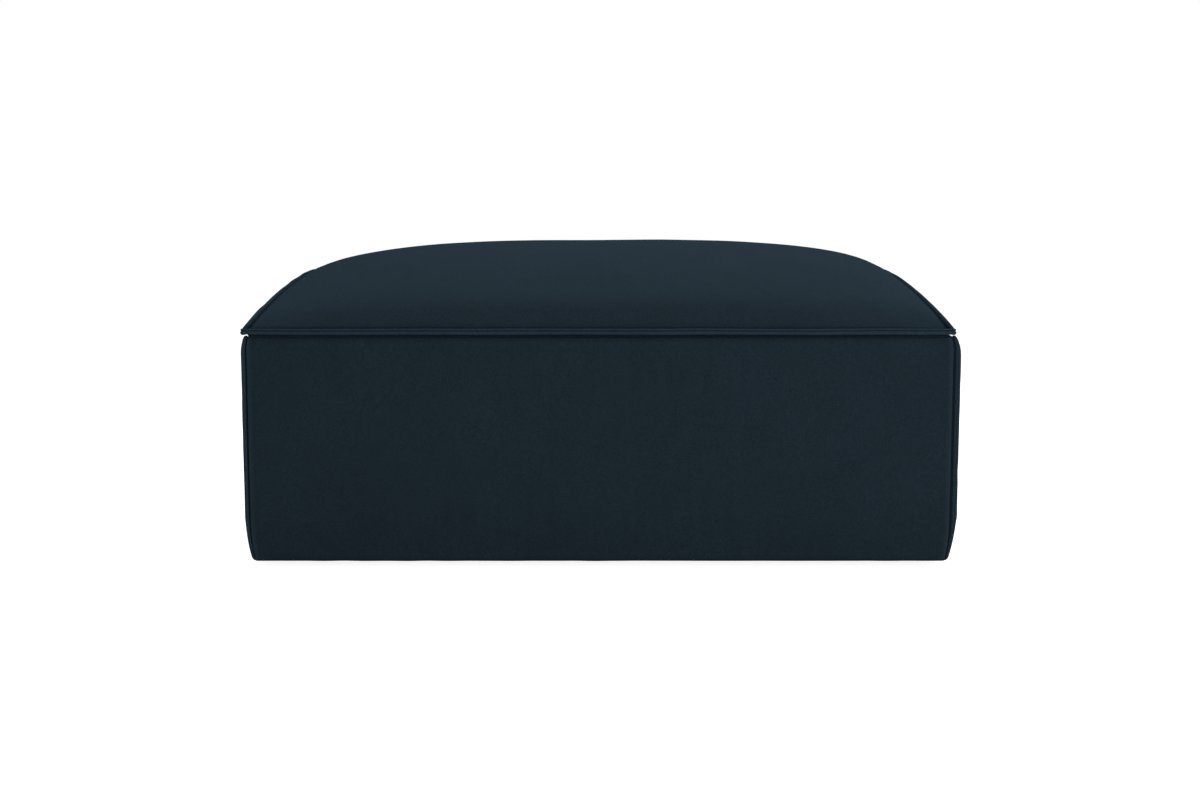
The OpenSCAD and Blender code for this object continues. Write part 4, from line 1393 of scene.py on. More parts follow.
@dataclass
class Deck:
    """The deck under the cushion: a velvet border, a lining, foam and felt."""

    base: Base
    # How far the border's outer edge lies inside the covers' top edges, and the depth of its seams
    edge_in: float = 4.4 * MM
    seam_depth: float = 1.1 * MM
    seam_reach: float = 3.5 * MM
    cell: float = 8 * MM

    def strip(self, side: Side) -> np.ndarray:
        """One mitred strip of the border, as if it were the front one.

        Args:
            side: the side that it lies along.

        Returns:
            Its points, whose normals point up.
        """
        base = self.base
        half, reach, crown = base.lengths(side)
        cloth = span("deck_cloth")[1]
        inner_x, inner_y = (cloth[0], cloth[1]) if side.long else (cloth[1], cloth[0])
        inner_x, inner_y = inner_x + LAY, inner_y + LAY
        draw = float(base.draw_in(np.array(base.cover_top))) + self.edge_in
        share = float(base.swell_share(np.array(base.cover_top)))
        outer = half - draw
        along = (seamed(2 * outer, self.cell, self.seam_reach) / outer - 1.0)[None, :]
        deep = reach - draw - inner_y
        across = (seamed(deep, self.cell, self.seam_reach) / deep)[::-1, None]
        y_outer = -(reach - draw + crown * share * bow(along, *COVER_BOW))
        x = along * (outer * (1 - across) + inner_x * across)
        y = y_outer * (1 - across) - inner_y * across
        flat = points_at(x, y, 0.0)
        edges = np.minimum.reduce(seam_distances(flat))
        z = base.deck_z - roll(edges, self.seam_reach, self.seam_depth)
        z = z + 0.12 * MM * (noise(flat, 40 * MM, 90) - 1) * np.clip(edges / (9 * MM), 0, 1)
        return points_at(x, y, z)

    def lining(self) -> bpy.types.Object:
        """The lining inside the border, slightly dished, with gathers along its seam."""
        low, high = span("deck_cloth")
        x = (seamed(high[0] - low[0], self.cell, self.seam_reach) + low[0])[None, :]
        y = (seamed(high[1] - low[1], self.cell, self.seam_reach) + low[1])[::-1, None]
        flat = points_at(x, y, 0.0)
        rear, front, left, right = seam_distances(flat)
        edges = np.minimum.reduce([rear, front, left, right])
        z = high[2] - roll(edges, self.seam_reach, self.seam_depth)
        z = z - 1.2 * MM * np.clip(edges / (250 * MM), 0, 1) ** 1.5
        z = z + 0.4 * MM * puckers(flat[..., 0], np.minimum(rear, front), 19 * MM, 16 * MM, 93)
        z = z + 0.4 * MM * puckers(flat[..., 1], np.minimum(left, right), 19 * MM, 16 * MM, 95)
        z = z + 0.15 * MM * (noise(flat, 60 * MM, 97) - 1)
        return cloth_mesh("deck_cloth_lining", [points_at(x, y, z)[::-1]], LINING_T)

    def build(self, shop: Workshop) -> None:
        """Makes the border, the lining, the foam and the felt."""
        strips = [turned(self.strip(side), side.turn)[::-1] for side in Side]
        border = cloth_mesh("deck_border_velvet", strips, VELVET_T)
        # Painted shade along the border's seams, fading over the width of their rolls
        edges = [np.minimum.reduce(seam_distances(strip)).ravel() for strip in strips]
        paint_pile_light(border, 1.2 - np.concatenate(edges) / self.seam_reach)
        shop.fit(border, VELVET, "velvet", Body.BASE, "deck_border")
        foam = slab_mesh("deck_foam_slab", *span("deck_foam"), 3 * MM, 40 * MM, 0.6 * MM, 5)
        shop.fit(foam, FOAM, "foam", Body.BASE, "deck_foam", fill=1.0)
        felt = slab_mesh("spring_felt_sheet", *span("spring_felt"), 0.8 * MM, 40 * MM, 0.3 * MM, 6)
        shop.fit(felt, FELT, "felt", Body.BASE, "spring_felt")
        lining = self.lining()
        shop.fit(lining, DECK_LINING, "deck_lining", Body.BASE, "deck_cloth")


class Underside:
    """What shows from below: the dust cloth with its staples, the glides and their screws."""

    def dust_cloth(self) -> bpy.types.Object:
        """The dust cloth, with its edges folded under and a slight sag between the staples."""
        low, high = span("dust_cover")
        x = steps(low[0], high[0], 9 * MM)[None, :]
        y = steps(low[1], high[1], 9 * MM)[:, None]
        flat = points_at(x, y, 0.0)
        edges = np.minimum.reduce(seam_distances(flat))
        sag = np.clip((edges - 20 * MM) / (120 * MM), 0.0, 1.0)
        z = high[2] - 0.1 * MM - 1.4 * MM * sag * (0.6 + 0.4 * noise(flat, 120 * MM, 41))
        z = z - 0.25 * MM * np.clip((edges - 8 * MM) / (10 * MM), 0.0, 1.0) * (1 + noise(flat, 26 * MM, 43))
        return cloth_mesh("dust_cover_cloth", [points_at(x, y, z)], 0.4 * MM)

    def staples(self) -> bpy.types.Object:
        """Staples round the dust cloth's edge, slightly askew."""
        low, high = span("dust_cover")
        inset, pitch, half, wire = 7 * MM, 42 * MM, 5 * MM, 0.35 * MM
        generator = np.random.default_rng(11)
        section = wire * np.array([(math.cos(a), math.sin(a)) for a in np.radians(range(0, 360, 45))])
        bars = []
        for axis in (0, 1):
            for edge in (low[1 - axis] + inset, high[1 - axis] - inset):
                for at in steps(low[axis] + 30 * MM, high[axis] - 30 * MM, pitch):
                    centre = np.zeros(3)
                    centre[axis], centre[1 - axis] = at + generator.normal(0.0, 1.5 * MM), edge
                    angle = math.radians(90.0 * axis + generator.normal(0.0, 7.0))
                    run = np.array([math.cos(angle), math.sin(angle), 0.0])
                    side = np.array([-run[1], run[0], 0.0])
                    crown_z = low[2] - wire
                    route = [(-half, 2.5 * MM), (-half, 0.6 * MM), (-0.9 * half, 0.0), (0.9 * half, 0.0),
                             (half, 0.6 * MM), (half, 2.5 * MM)]
                    slopes = [90.0, 65.0, 25.0, -25.0, -65.0, -90.0]
                    rings = []
                    for (along, lift), slope in zip(route, np.radians(slopes)):
                        across = np.array([0.0, 0.0, 1.0]) * math.cos(slope) + run * math.sin(slope)
                        point = centre + run * along + np.array([0.0, 0.0, crown_z + lift])
                        rings.append(point + section[:, :1] * side + section[:, 1:] * across)
                    bars.append(np.array(rings))
        return bars_mesh("dust_cover_staples", bars)

    def build(self, shop: Workshop) -> None:
        """Makes the dust cloth and the staples, and finishes the glides and screws."""
        cloth = self.dust_cloth()
        staples = self.staples()
        shop.fit(cloth, SPUN_BOND, "nonwoven", Body.BASE, "dust_cover")
        shop.fit(staples, SCREW_STEEL, "screw_steel", Body.BASE)
        shop.keep("glides", GLIDE_PLASTIC)
        shop.keep("glide_screws", SCREW_STEEL)


class Carcass:
    """The hidden pine frame with its boards and the zigzag springs."""

    def build(self, shop: Workshop) -> None:
        """Finishes the construction's own pieces, with their edges broken as a plane leaves them."""
        planed, sanded, cut = 1.5 * MM, 0.8 * MM, 0.4 * MM
        for end, pine in (("front", PINE_X), ("rear", PINE_X), ("left", PINE_Y), ("right", PINE_Y)):
            for height in ("bottom", "top"):
                shop.keep(f"{end}_{height}_rail", pine, planed)
            shop.keep(f"{end}_board", HARDBOARD, cut)
        shop.keep("centre_stretcher", PINE_Y, planed)
        shop.keep("edge_strips", PINE_X, sanded)
        shop.keep("corner_blocks", PINE_X, 1.0 * MM)
        shop.keep("corner_posts", PINE_Z, planed)
        shop.keep("studs", PINE_Z, planed)
        for node in ("springs", "spring_clips", "spring_ties"):
            shop.keep(node, SPRING_STEEL)


@dataclass
class Cushion:
    """The loose seat cushion: crowned cover panels with flanged seams over wadding and a foam core."""

    seat_w: float
    seat_d: float
    seam_z: float
    under_z: float
    crown_h: float
    flange_w: float
    upper_lip: float
    lower_lip: float
    # Rise of the arched end seams over the bottom seam
    arch_h: float = 64 * MM
    # Slope of the crown where it rises from the front and rear seams, the share of its height by which
    # its flatter top has fallen there, and how tight the soft edge between them is
    crown_slope: float = 47.0
    crown_fall: float = 0.84
    edge_bend: float = 7.5
    # Share of the half depth over which the crown is round at its top, before its even slope
    crown_ridge: float = 0.27
    # Power with which its flatter top falls from there
    crown_power: float = 1.5
    # How much fuller the right shoulder is filled than the left one
    fuller_right: float = 1.0
    # How far the top of an arched seam leans in, and how far the end panels swell
    arch_lean: float = 27.5 * MM
    end_bulge: float = 11 * MM
    # How near to the corners the end panels reach, as a share of the half depth
    end_tip: float = 0.985
    # How far the arched seams flare out at the corners, and how soon the flare ends
    corner_flare: float = 3 * MM
    flare_bend: float = 10.0
    # How far the arched flanges stand out, and the thickness of one lip
    arch_flange_w: float = 6.3 * MM
    arch_flange_t: float = 2.3 * MM
    # The arched flanges are turned up from level by this angle, and start this near the corners
    arch_turn: float = 42.0
    arch_start: float = 0.998
    # Part of an arched flange over which its lips lie thin, before their round edges
    arch_neck: float = 1.4 * MM
    # Length over which an arched flange turns out to the corner of the bottom one, and by which share
    # it widens there
    arch_merge: float = 9 * MM
    arch_spread: float = 0.15
    # Width and depth of the top panel's roll into the arched seams, and into the bottom seam
    arch_reach: float = 5 * MM
    arch_depth: float = 4 * MM
    foot_reach: float = 8 * MM
    foot_depth: float = 3.5 * MM
    # Width of the strip beside an arched seam that gets painted shade
    seam_shade_w: float = 4.2 * MM
    # How far out the piled-up cloth pushes the bottom flange's corners, and by which share its lower
    # lip grows there
    ear: float = 0.05
    lower_grow: float = 0.12
    # How square those corners are, as the power of their round
    corner_power: int = 5
    # How far the bottom flange's groove lies above the seam, because the lips turn up
    flange_lift: float = 1 * MM
    # Distance between points on the panels, and between rings of the flanges
    cell: float = 5.5 * MM
    flange_cell: float = 3.2 * MM

    @classmethod
    def measured(cls) -> "Cushion":
        """The cushion with the sizes of the construction."""
        bottom, top, flange = span("cushion_bottom_cover"), span("cushion_top_cover"), span("cushion_flange")
        seam_z = top[0][2]
        # The crown swells past the construction's, and the flange is narrower, with a flatter upper lip
        swell, narrow, flat = 0.7 * MM, 0.88, 0.7
        return cls(
            seat_w=bottom[1][0], seat_d=bottom[1][1], seam_z=seam_z, under_z=bottom[0][2],
            crown_h=top[1][2] - seam_z + swell, flange_w=narrow * (flange[1][0] - bottom[1][0]),
            upper_lip=flat * (flange[1][2] - seam_z), lower_lip=seam_z - flange[0][2],
        )

    def top_point(self, inward: float, z: float, u: np.ndarray, v: np.ndarray) -> np.ndarray:
        """Points of the crowned top.

        Args:
            inward: how far inside the cover's face they lie.
            z: height of the layer's foot.
            u: places across, from -1 to 1.
            v: places from front to rear, from -1 to 1.

        Returns:
            The points.
        """
        swell = bow(u, 2.8 + self.fuller_right * np.maximum(u, 0.0), 1.6)
        end_rise = bow(v, *ARCH_BOW)
        flare = self.corner_flare * np.exp(-self.flare_bend * end_rise)
        climb = math.tan(math.radians(self.crown_slope)) * self.seat_d / self.crown_h
        ridge, power = self.crown_ridge, self.crown_power
        fallen = (v ** 2 + ridge ** 2) ** (power / 2) - ridge ** power
        mid_rise = soft_least(climb * (1 - np.abs(v)), 1 - self.crown_fall * fallen, self.edge_bend)
        foot = self.seam_z - z - inward
        rise = self.arch_h + (self.crown_h - self.arch_h) * swell + foot
        return points_at(
            u * (self.seat_w - inward - self.arch_lean * end_rise + flare), v * (self.seat_d - inward),
            z + rise * (mid_rise * swell + end_rise * (1 - swell)),
        )

    def end_point(self, inward: float, z: float, side: int, v: np.ndarray, w: np.ndarray) -> np.ndarray:
        """Points of an end panel, w of the way up from the bottom seam to the arched seam."""
        top = self.top_point(inward, z, np.array(float(side)), v)
        foot = points_at(side * (self.seat_w - inward), top[..., 1], z)
        bulge = side * self.end_bulge * np.sin(math.pi * w) * bow(v, *ARCH_BOW)
        return foot + w[..., None] * (top - foot) + points_at(bulge, 0.0, 0.0)

    def top_grid(self) -> np.ndarray:
        """The top panel before its folds; its rows run from the front to the rear."""
        u = shares_by_length(lambda s: self.face(s, np.zeros_like(s)), self.cell, self.arch_reach)
        return self.face(u[None, :], self.places(0.7, self.cell, self.foot_reach)[:, None])

    def face(self, u: np.ndarray, v: np.ndarray) -> np.ndarray:
        """Points of the cover's crowned top, over the bottom seam."""
        return self.top_point(0.0, self.seam_z, u, v)

    def places(self, u: float, step: float, reach: float) -> np.ndarray:
        """Places from front to rear at even lengths along the top, where it is u of the way across."""
        return shares_by_length(lambda s: self.face(np.full_like(s, u), s), step, reach)

    def held(self, grid: np.ndarray) -> np.ndarray:
        """True for each point of the top panel that its seams hold."""
        front, rear, left, right = seam_distances(grid)
        return (np.minimum(front, rear) < self.foot_reach) | (np.minimum(left, right) < self.arch_reach)

    def top_panel(self, press: ClothPress) -> bpy.types.Object:
        """The top panel, with its folds, its gathers and its rolls into the seams."""
        grid = self.top_grid()
        front, rear, left, right = seam_distances(grid)
        facing = normals(grid)
        foot, ends = np.minimum(front, rear), np.minimum(left, right)
        soft = np.clip(np.minimum(foot, ends) / (40 * MM), 0.0, 1.0)
        height = soft * (1.1 * MM * noise(grid, 170 * MM, 3) + 0.35 * MM * noise(grid, 60 * MM, 4))
        # A soft fold runs beside each arched seam, where the wadding ends
        fold_at = 15 * MM + 4 * MM * noise(grid, 110 * MM, 8)
        fold = 0.7 * MM * np.exp(-((ends - fold_at) / (5 * MM)) ** 2)
        height = height + fold * np.clip(foot / (60 * MM), 0, 1)
        height = height + 0.6 * MM * puckers(grid[..., 0], foot, 16 * MM, 12 * MM, 5)
        height = height + 0.5 * MM * puckers(grid[..., 1], ends, 14 * MM, 9 * MM, 7)
        depth = roll(ends, self.arch_reach, self.arch_depth)
        inner = np.clip(np.minimum(foot, ends) / (12 * MM), 0.0, 1.0)
        shaped = grid + facing * (height - depth)[..., None]
        # The filling swells over the bottom seam, so that the panel turns in level above the upper lip
        tuck = roll(np.maximum(foot - self.upper_lip, 0.0), self.foot_reach, self.foot_depth)
        shaped[..., 1] -= np.sign(grid[..., 1]) * tuck
        shaped = shaped + press.wrinkles("cushion_top", 8, 1 * MM) * 0.5 * inner[..., None]
        piece = cloth_mesh("cushion_top_velvet", [shaped], VELVET_T)
        # Painted shade beside the arched seams
        paint_pile_light(piece, 1.3 - ends / self.seam_shade_w)
        return piece

    def end_panel(self, side: int) -> bpy.types.Object:
        """An end panel, which swells a little between the bottom seam and the arched seam."""
        v = np.clip(self.places(side, self.cell, 3 * MM), -self.end_tip, self.end_tip)
        v = v[np.concatenate([[True], np.diff(v) > 0])]
        w = np.concatenate([[0.0, 0.02, 0.05, 0.09], steps(0.14, 0.86, 0.08), [0.91, 0.95, 0.98, 1.0]])
        grid = self.end_point(0.0, self.seam_z, side, v[None, :], w[:, None])
        if side > 0:
            grid = grid[:, ::-1]
        low, high, _, _ = seam_distances(grid)
        tall = np.maximum(low + high, 1e-6)
        facing = normals(grid)
        if facing[facing.shape[0] // 2, facing.shape[1] // 2, 0] * side < 0:
            grid, facing = grid[::-1], -facing[::-1]
            low, high, tall = high[::-1], low[::-1], tall[::-1]
        near = np.minimum(low, high)
        height = 0.6 * MM * noise(grid, 70 * MM, 12 + side) * np.clip(near / (15 * MM), 0, 1)
        height = height + 0.5 * MM * puckers(grid[..., 1], near, 13 * MM, 8 * MM, 14 + side)
        depth = roll(near, 5 * MM, np.minimum(3 * MM, 0.3 * tall))
        shaped = grid + facing * (height - depth)[..., None]
        return cloth_mesh(f"cushion_{hand(side)}_end_velvet", [shaped], VELVET_T)

    def seam_path(self) -> tuple[np.ndarray, np.ndarray, np.ndarray]:
        """The route of the bottom seam.

        Returns:
            Its points, its outward directions, and how much further the flange reaches at the corners.
        """
        at, out, far = [], [], []
        signs = ((1, -1), (1, 1), (-1, 1), (-1, -1))
        corners = [np.array([x * self.seat_w, y * self.seat_d, self.seam_z]) for x, y in signs]
        for quarter, corner in enumerate(corners):
            start = math.radians(90.0 * quarter - 90.0)
            for part in np.linspace(0.0, math.pi / 2, 11):
                angle = start + part
                at.append(corner)
                out.append([math.cos(angle), math.sin(angle), 0.0])
                tip = 1 + self.ear * math.sin(2 * part) ** 4
                sides = abs(math.cos(part)) ** self.corner_power + abs(math.sin(part)) ** self.corner_power
                far.append(tip * sides ** (-1 / self.corner_power))
            after = corners[(quarter + 1) % 4]
            for share in steps(0.0, 1.0, self.flange_cell / np.linalg.norm(after - corner))[1:-1]:
                at.append(corner + share * (after - corner))
                out.append([math.cos(start + math.pi / 2), math.sin(start + math.pi / 2), 0.0])
                far.append(1.0)
        return np.array(at), np.array(out), np.array(far)

    def bottom_flange(self) -> bpy.types.Object:
        """The flange round the bottom seam."""
        at, out, far = self.seam_path()
        up = np.tile([0.0, 0.0, 1.0], (len(at), 1))
        outside = at + out * self.flange_w
        along = outside[:, 0] + outside[:, 1]
        ripple = puckers(along, np.zeros(len(at)), 6 * MM, 1.0, 33)
        at = at + (self.flange_lift + 0.35 * MM * noise(outside, 80 * MM, 30)[:, None]) * up
        width = far * (1.0 + 0.05 * noise(outside, 55 * MM, 31))
        height = 1.0 + 0.05 * noise(outside, 35 * MM, 32) + 0.06 * ripple
        root = self.foot_depth + self.upper_lip
        section = lip_section(self.flange_w, self.upper_lip, self.lower_lip, root, 0.7, 0.3, 1.8 * MM)
        corner = np.clip((far - 1.0) / (far.max() - 1.0), 0.0, 1.0)
        fuller = 1.0 + self.lower_grow * corner[:, None] * (section[None, :, 1] < -0.3 * self.lower_lip)
        # The groove between the lips closes at the corners, where the cloth is folded over
        shut = (section[:, 0] > 0.75 * self.flange_w) & (np.abs(section[:, 1]) < 0.25 * self.upper_lip)
        closed = 1.0 + corner[:, None] * shut * (self.flange_w / np.maximum(section[:, 0], MM) - 1.0)
        reach = width[:, None] * (0.5 + 0.5 * fuller) * closed
        rings = swept(section, at, out, up, reach, height[:, None] * fuller)
        piece = bars_mesh("cushion_flange_velvet", [rings], closed=True)
        # Painted shade at the seam and in the groove between the lips
        paint_pile_light(piece, np.tile(lip_seam_shade(section, 0.0, 0.8), len(rings)))
        return piece

    def arch_flange(self, side: int) -> bpy.types.Object:
        """The flange of one arched seam, from corner to corner."""
        v = self.places(side, self.flange_cell, 4 * MM)
        v = v[np.abs(v) < self.arch_start]
        at = self.face(np.array(float(side)), v)
        line = unit(np.gradient(at, axis=0))
        rise = unit(np.stack([0 * v, -line[:, 2], line[:, 1]], axis=1))
        turn = math.radians(self.arch_turn)
        level = np.array([float(side), 0.0, 0.0])
        run = np.concatenate([[0.0], np.cumsum(np.linalg.norm(np.diff(at, axis=0), axis=1))])
        near = np.exp(-np.minimum(run, run[-1] - run) / self.arch_merge)[:, None]
        # At its ends the flange turns level and out to the corner, where it lies on the bottom flange
        corner = unit(points_at(side, np.sign(v), 0.15))
        out = unit((1 - near) * (math.cos(turn) * level + math.sin(turn) * rise) + near * corner)
        up = unit(np.cross(line, out) * side)
        at = at - self.arch_depth * out + 0.3 * MM * noise(at, 50 * MM, 50 + side)[:, None] * up
        width = 1.0 + 0.06 * noise(at, 40 * MM, 52 + side) + self.arch_spread * near[:, 0]
        ends = np.sqrt(np.clip(np.minimum(run, run[-1] - run) / (2 * MM), 0.2, 1.0))
        whole_w = self.arch_flange_w + self.arch_depth
        pinch = (self.arch_depth + self.arch_neck) / whole_w
        section = lip_section(whole_w, self.arch_flange_t, self.arch_flange_t, 0.0, 0.25, pinch, 1.6 * MM)
        rings = swept(section, at, out, up, width, ends)
        floor = self.seam_z + 0.7 * self.upper_lip
        rings[..., 2] = np.maximum(rings[..., 2], floor)
        piece = bars_mesh(f"{hand(side)}_arch_flange_velvet", [rings])
        # Painted shade at the seam and in the groove between the lips
        paint_pile_light(piece, np.tile(lip_seam_shade(section, self.arch_depth + 0.7 * self.arch_neck), len(rings)))
        return piece

    def bottom_panel(self) -> bpy.types.Object:
        """The underside with its low border and the two folded edges over the zip."""
        tapes, teeth = span("zip_tapes"), span("zip_teeth")
        zip_y = (teeth[0][1] + teeth[1][1]) / 2
        mouth = 10 * MM
        ends_x = teeth[1][0] + LAY
        edge_r = 3 * MM
        half_x, half_y = self.seat_w - LAY, self.seat_d - LAY
        x = np.unique(np.concatenate([steps(-half_x + edge_r, half_x - edge_r, 9 * MM), [-ends_x, ends_x]]))
        front = steps(-half_y + edge_r, zip_y - mouth, 9 * MM)
        rear = steps(zip_y + mouth, half_y - edge_r, 6 * MM)
        y = np.concatenate([front, rear])
        bends = np.radians([30.0, 60.0, 90.0])
        border = steps(edge_r, self.seam_z - self.under_z - 0.5 * MM, 1.6 * MM)[1:]
        outs = np.concatenate([edge_r * np.sin(bends), np.full(len(border), edge_r)])
        lifts = np.concatenate([edge_r * (1 - np.cos(bends)), border])
        x_all = np.concatenate([-(half_x - edge_r + outs)[::-1], x, half_x - edge_r + outs])
        y_all = np.concatenate([-(half_y - edge_r + outs)[::-1], y, half_y - edge_r + outs])
        x_lift = np.concatenate([lifts[::-1], 0 * x, lifts])
        y_lift = np.concatenate([lifts[::-1], 0 * y, lifts])
        lift = np.maximum(x_lift[None, :], y_lift[:, None])
        # A corner of the border has the lower of the two reaches, so that it stands upright
        grid = points_at(x_all[None, :], y_all[:, None], self.under_z + lift)
        near_zip = np.abs(grid[..., 1] - zip_y)
        fold = np.exp(-((near_zip - mouth) / (1.5 * MM)) ** 2) * (np.abs(grid[..., 0]) < ends_x)
        grid[..., 2] += fold * (tapes[0][2] - self.under_z - VELVET_T) * 0.6
        grid[..., 2] += 0.25 * MM * (1 + noise(grid, 70 * MM, 71)) * (lift == 0)
        rows, cols = lift.shape
        quads = np.array(grid_faces(rows, cols))
        centre = grid.reshape(-1, 3)[quads].mean(axis=1)
        open_zip = (np.abs(centre[:, 1] - zip_y) < mouth) & (np.abs(centre[:, 0]) < ends_x)
        piece = link_mesh("cushion_bottom_velvet", grid, quads[~open_zip][:, ::-1].tolist())
        # Painted shade on the low upright border under the flange, fading out round the bend to the flat
        # underside
        paint_pile_light(piece, 0.9 * np.clip(lift / edge_r, 0.0, 1.0))
        thicken(piece, VELVET_T)
        return piece

    def filling(self) -> tuple[bpy.types.Object, bpy.types.Object]:
        """The foam core and the wadding over it."""
        core_z = span("cushion_core")[0][2]
        wadding_t = 10 * MM
        inward = VELVET_T + 4 * LAY + self.arch_depth
        v = -np.cos(np.linspace(0.0, math.pi, 61))[:, None]
        u = -np.cos(np.linspace(0.0, math.pi, 73))[None, :]
        w = np.array([0.0, 0.2, 0.4, 0.6, 0.8])
        shells = []
        for depth in (inward, inward + wadding_t, inward + wadding_t + LAY):
            left = self.end_point(depth, core_z, -1, v, w[None, :])
            right = self.end_point(depth, core_z, 1, v, w[None, ::-1])
            shells.append(np.concatenate([left, self.top_point(depth, core_z, u, v), right], axis=1))
        dents = 0.6 * MM * (1 + noise(shells[0], 45 * MM, 81))
        wadding = shell_mesh("cushion_wadding_layer", shells[0] - points_at(0.0, 0.0, dents), shells[1])
        floor = shells[2].copy()
        floor[..., 2] = core_z
        return shell_mesh("cushion_core_foam", shells[2], floor), wadding

    def build(self, shop: Workshop, press: ClothPress) -> None:
        """Makes the cover's panels and flanges, the core and the wadding."""
        on = Body.CUSHION
        shop.fit(self.top_panel(press), VELVET, "velvet", on, "cushion_top_cover", fill=0.85)
        for side in (-1, 1):
            shop.fit(self.end_panel(side), VELVET, "velvet", on, f"cushion_{hand(side)}_end", fill=0.85)
            shop.fit(self.arch_flange(side), HIGHLIT_VELVET, "velvet", on, f"{hand(side)}_arch_flange")
        shop.fit(self.bottom_flange(), HIGHLIT_VELVET, "velvet", on, "cushion_flange")
        shop.fit(self.bottom_panel(), VELVET, "velvet", on, "cushion_bottom_cover", fill=0.85)
        core, wadding = self.filling()
        shop.fit(core, FOAM, "foam", on, "cushion_core", fill=1.0)
        shop.fit(wadding, WADDING, "wadding", on, "cushion_wadding", fill=0.7)


class Zip:
    """The concealed zip in the cushion's underside, with its tapes, teeth and slider."""

    def tapes(self) -> bpy.types.Object:
        """Two woven tapes with a thickened inner edge."""
        low, high = span("zip_tapes")
        teeth = span("zip_teeth")
        middle = (low[1] + high[1]) / 2
        inner = (teeth[1][1] - teeth[0][1]) / 2
        outer = (high[1] - low[1]) / 2
        across = np.concatenate([[inner, inner + 0.4 * MM], steps(inner + 1 * MM, outer, 2.4 * MM)])
        x = steps(low[0], high[0], 8 * MM)[None, :]
        grids = []
        for side in (-1, 1):
            y = (middle + side * across)[:, None]
            z = low[2] + 0.1 * MM * noise(points_at(x, y, 0.0), 40 * MM, 61)
            grid = points_at(x, y, z)
            grids.append(grid[::-1] if side > 0 else grid)
        return cloth_mesh("zip_tapes_weave", grids, high[2] - low[2])

    def teeth(self) -> bpy.types.Object:
        """Two rows of moulded teeth, which stand opposite each other's gaps."""
        low, high = span("zip_teeth")
        middle = (low + high) / 2
        pitch, tooth, gap = 2.4 * MM, 1.5 * MM, 0.9 * MM
        row = (high[1] - low[1]) / 2 - gap
        # Rings of a tooth: share of its length, and shares of its width and height there
        shape = ((0.0, 0.62, 0.5), (0.12, 1.0, 1.0), (0.85, 1.0, 1.0), (1.0, 0.8, 0.7))
        bars = []
        for side in (-1, 1):
            shift = 0.0 if side < 0 else pitch / 2
            for x in np.arange(low[0] + tooth + shift, high[0] - tooth, pitch):
                rings = []
                for share, wide, tall in shape:
                    y = middle[1] + side * (gap + row * (1 - share))
                    half_x, half_z = wide * tooth / 2, tall * (high[2] - low[2]) / 2
                    corners = ((-1, -1), (1, -1), (1, 1), (-1, 1))
                    rings.append([(x + a * half_x, y, middle[2] + b * half_z) for a, b in corners])
                bars.append(np.array(rings))
        return bars_mesh("zip_teeth_nylon", bars)

    def slider(self) -> bpy.types.Object:
        """The slider: two plates with a forked nose, side lips and a post between them."""
        low, high = span("zip_slider")
        length, width, _ = high - low
        middle = (low + high) / 2
        plate = 0.8 * MM
        half_l, half_w = length / 2, width / 2
        outline = round_section([
            (-half_l, -0.62 * half_w), (-0.55 * half_l, -0.86 * half_w), (0.3 * half_l, -half_w),
            (0.85 * half_l, -0.9 * half_w), (half_l, -0.5 * half_w), (0.9 * half_l, 0.0),
            (half_l, 0.5 * half_w), (0.85 * half_l, 0.9 * half_w), (0.3 * half_l, half_w),
            (-0.55 * half_l, 0.86 * half_w), (-half_l, 0.62 * half_w), (-0.97 * half_l, 0.0),
        ], 4)
        outline = np.clip(outline, [-half_l, -half_w], [half_l, half_w])
        bars = []
        for z in (low[2], high[2] - plate):
            bars.append(np.array([
                level_ring(outline * inset, middle, z + lift * plate)
                for lift, inset in ((0.0, 0.93), (0.12, 1.0), (0.88, 1.0), (1.0, 0.93))
            ]))
        angles = np.radians(range(0, 360, 30))
        post = np.stack([1.2 * MM * np.cos(angles), 0.55 * MM * np.sin(angles)], axis=1)
        post_ends = (low[2] + plate / 2, high[2] - plate / 2)
        bars.append(np.array([level_ring(post, middle, z) for z in post_ends]))
        return bars_mesh("zip_slider_body", bars)

    def build(self, shop: Workshop) -> None:
        """Makes the tapes, the teeth, the slider and the wadding beside the zip."""
        shop.fit(self.tapes(), ZIP_TAPE, "zip_tape", Body.CUSHION, "zip_tapes")
        shop.fit(self.teeth(), ZIP_NYLON, "zip_nylon", Body.CUSHION, "zip_teeth")
        shop.fit(self.slider(), ZIP_METAL, "zip_metal", Body.SLIDER, "zip_slider")
        # The wadding under the core is cut in two and stops short of the zip
        low, high = span("cushion_under_wadding")
        tapes, gap = span("zip_tapes"), 2 * MM
        front_high = np.array([high[0], tapes[0][1] - gap, high[2]])
        rear_low = np.array([low[0], tapes[1][1] + gap, low[2]])
        parts = (("cushion_under_wadding_layer", low, front_high, 9, ["cushion_under_wadding"]),
                 ("cushion_rear_wadding_strip", rear_low, high, 10, []))
        for name, start, end, seed, nodes in parts:
            layer = slab_mesh(name, start, end, 1.2 * MM, 45 * MM, 0.5 * MM, seed)
            shop.fit(layer, WADDING, "wadding", Body.CUSHION, *nodes, fill=0.6)


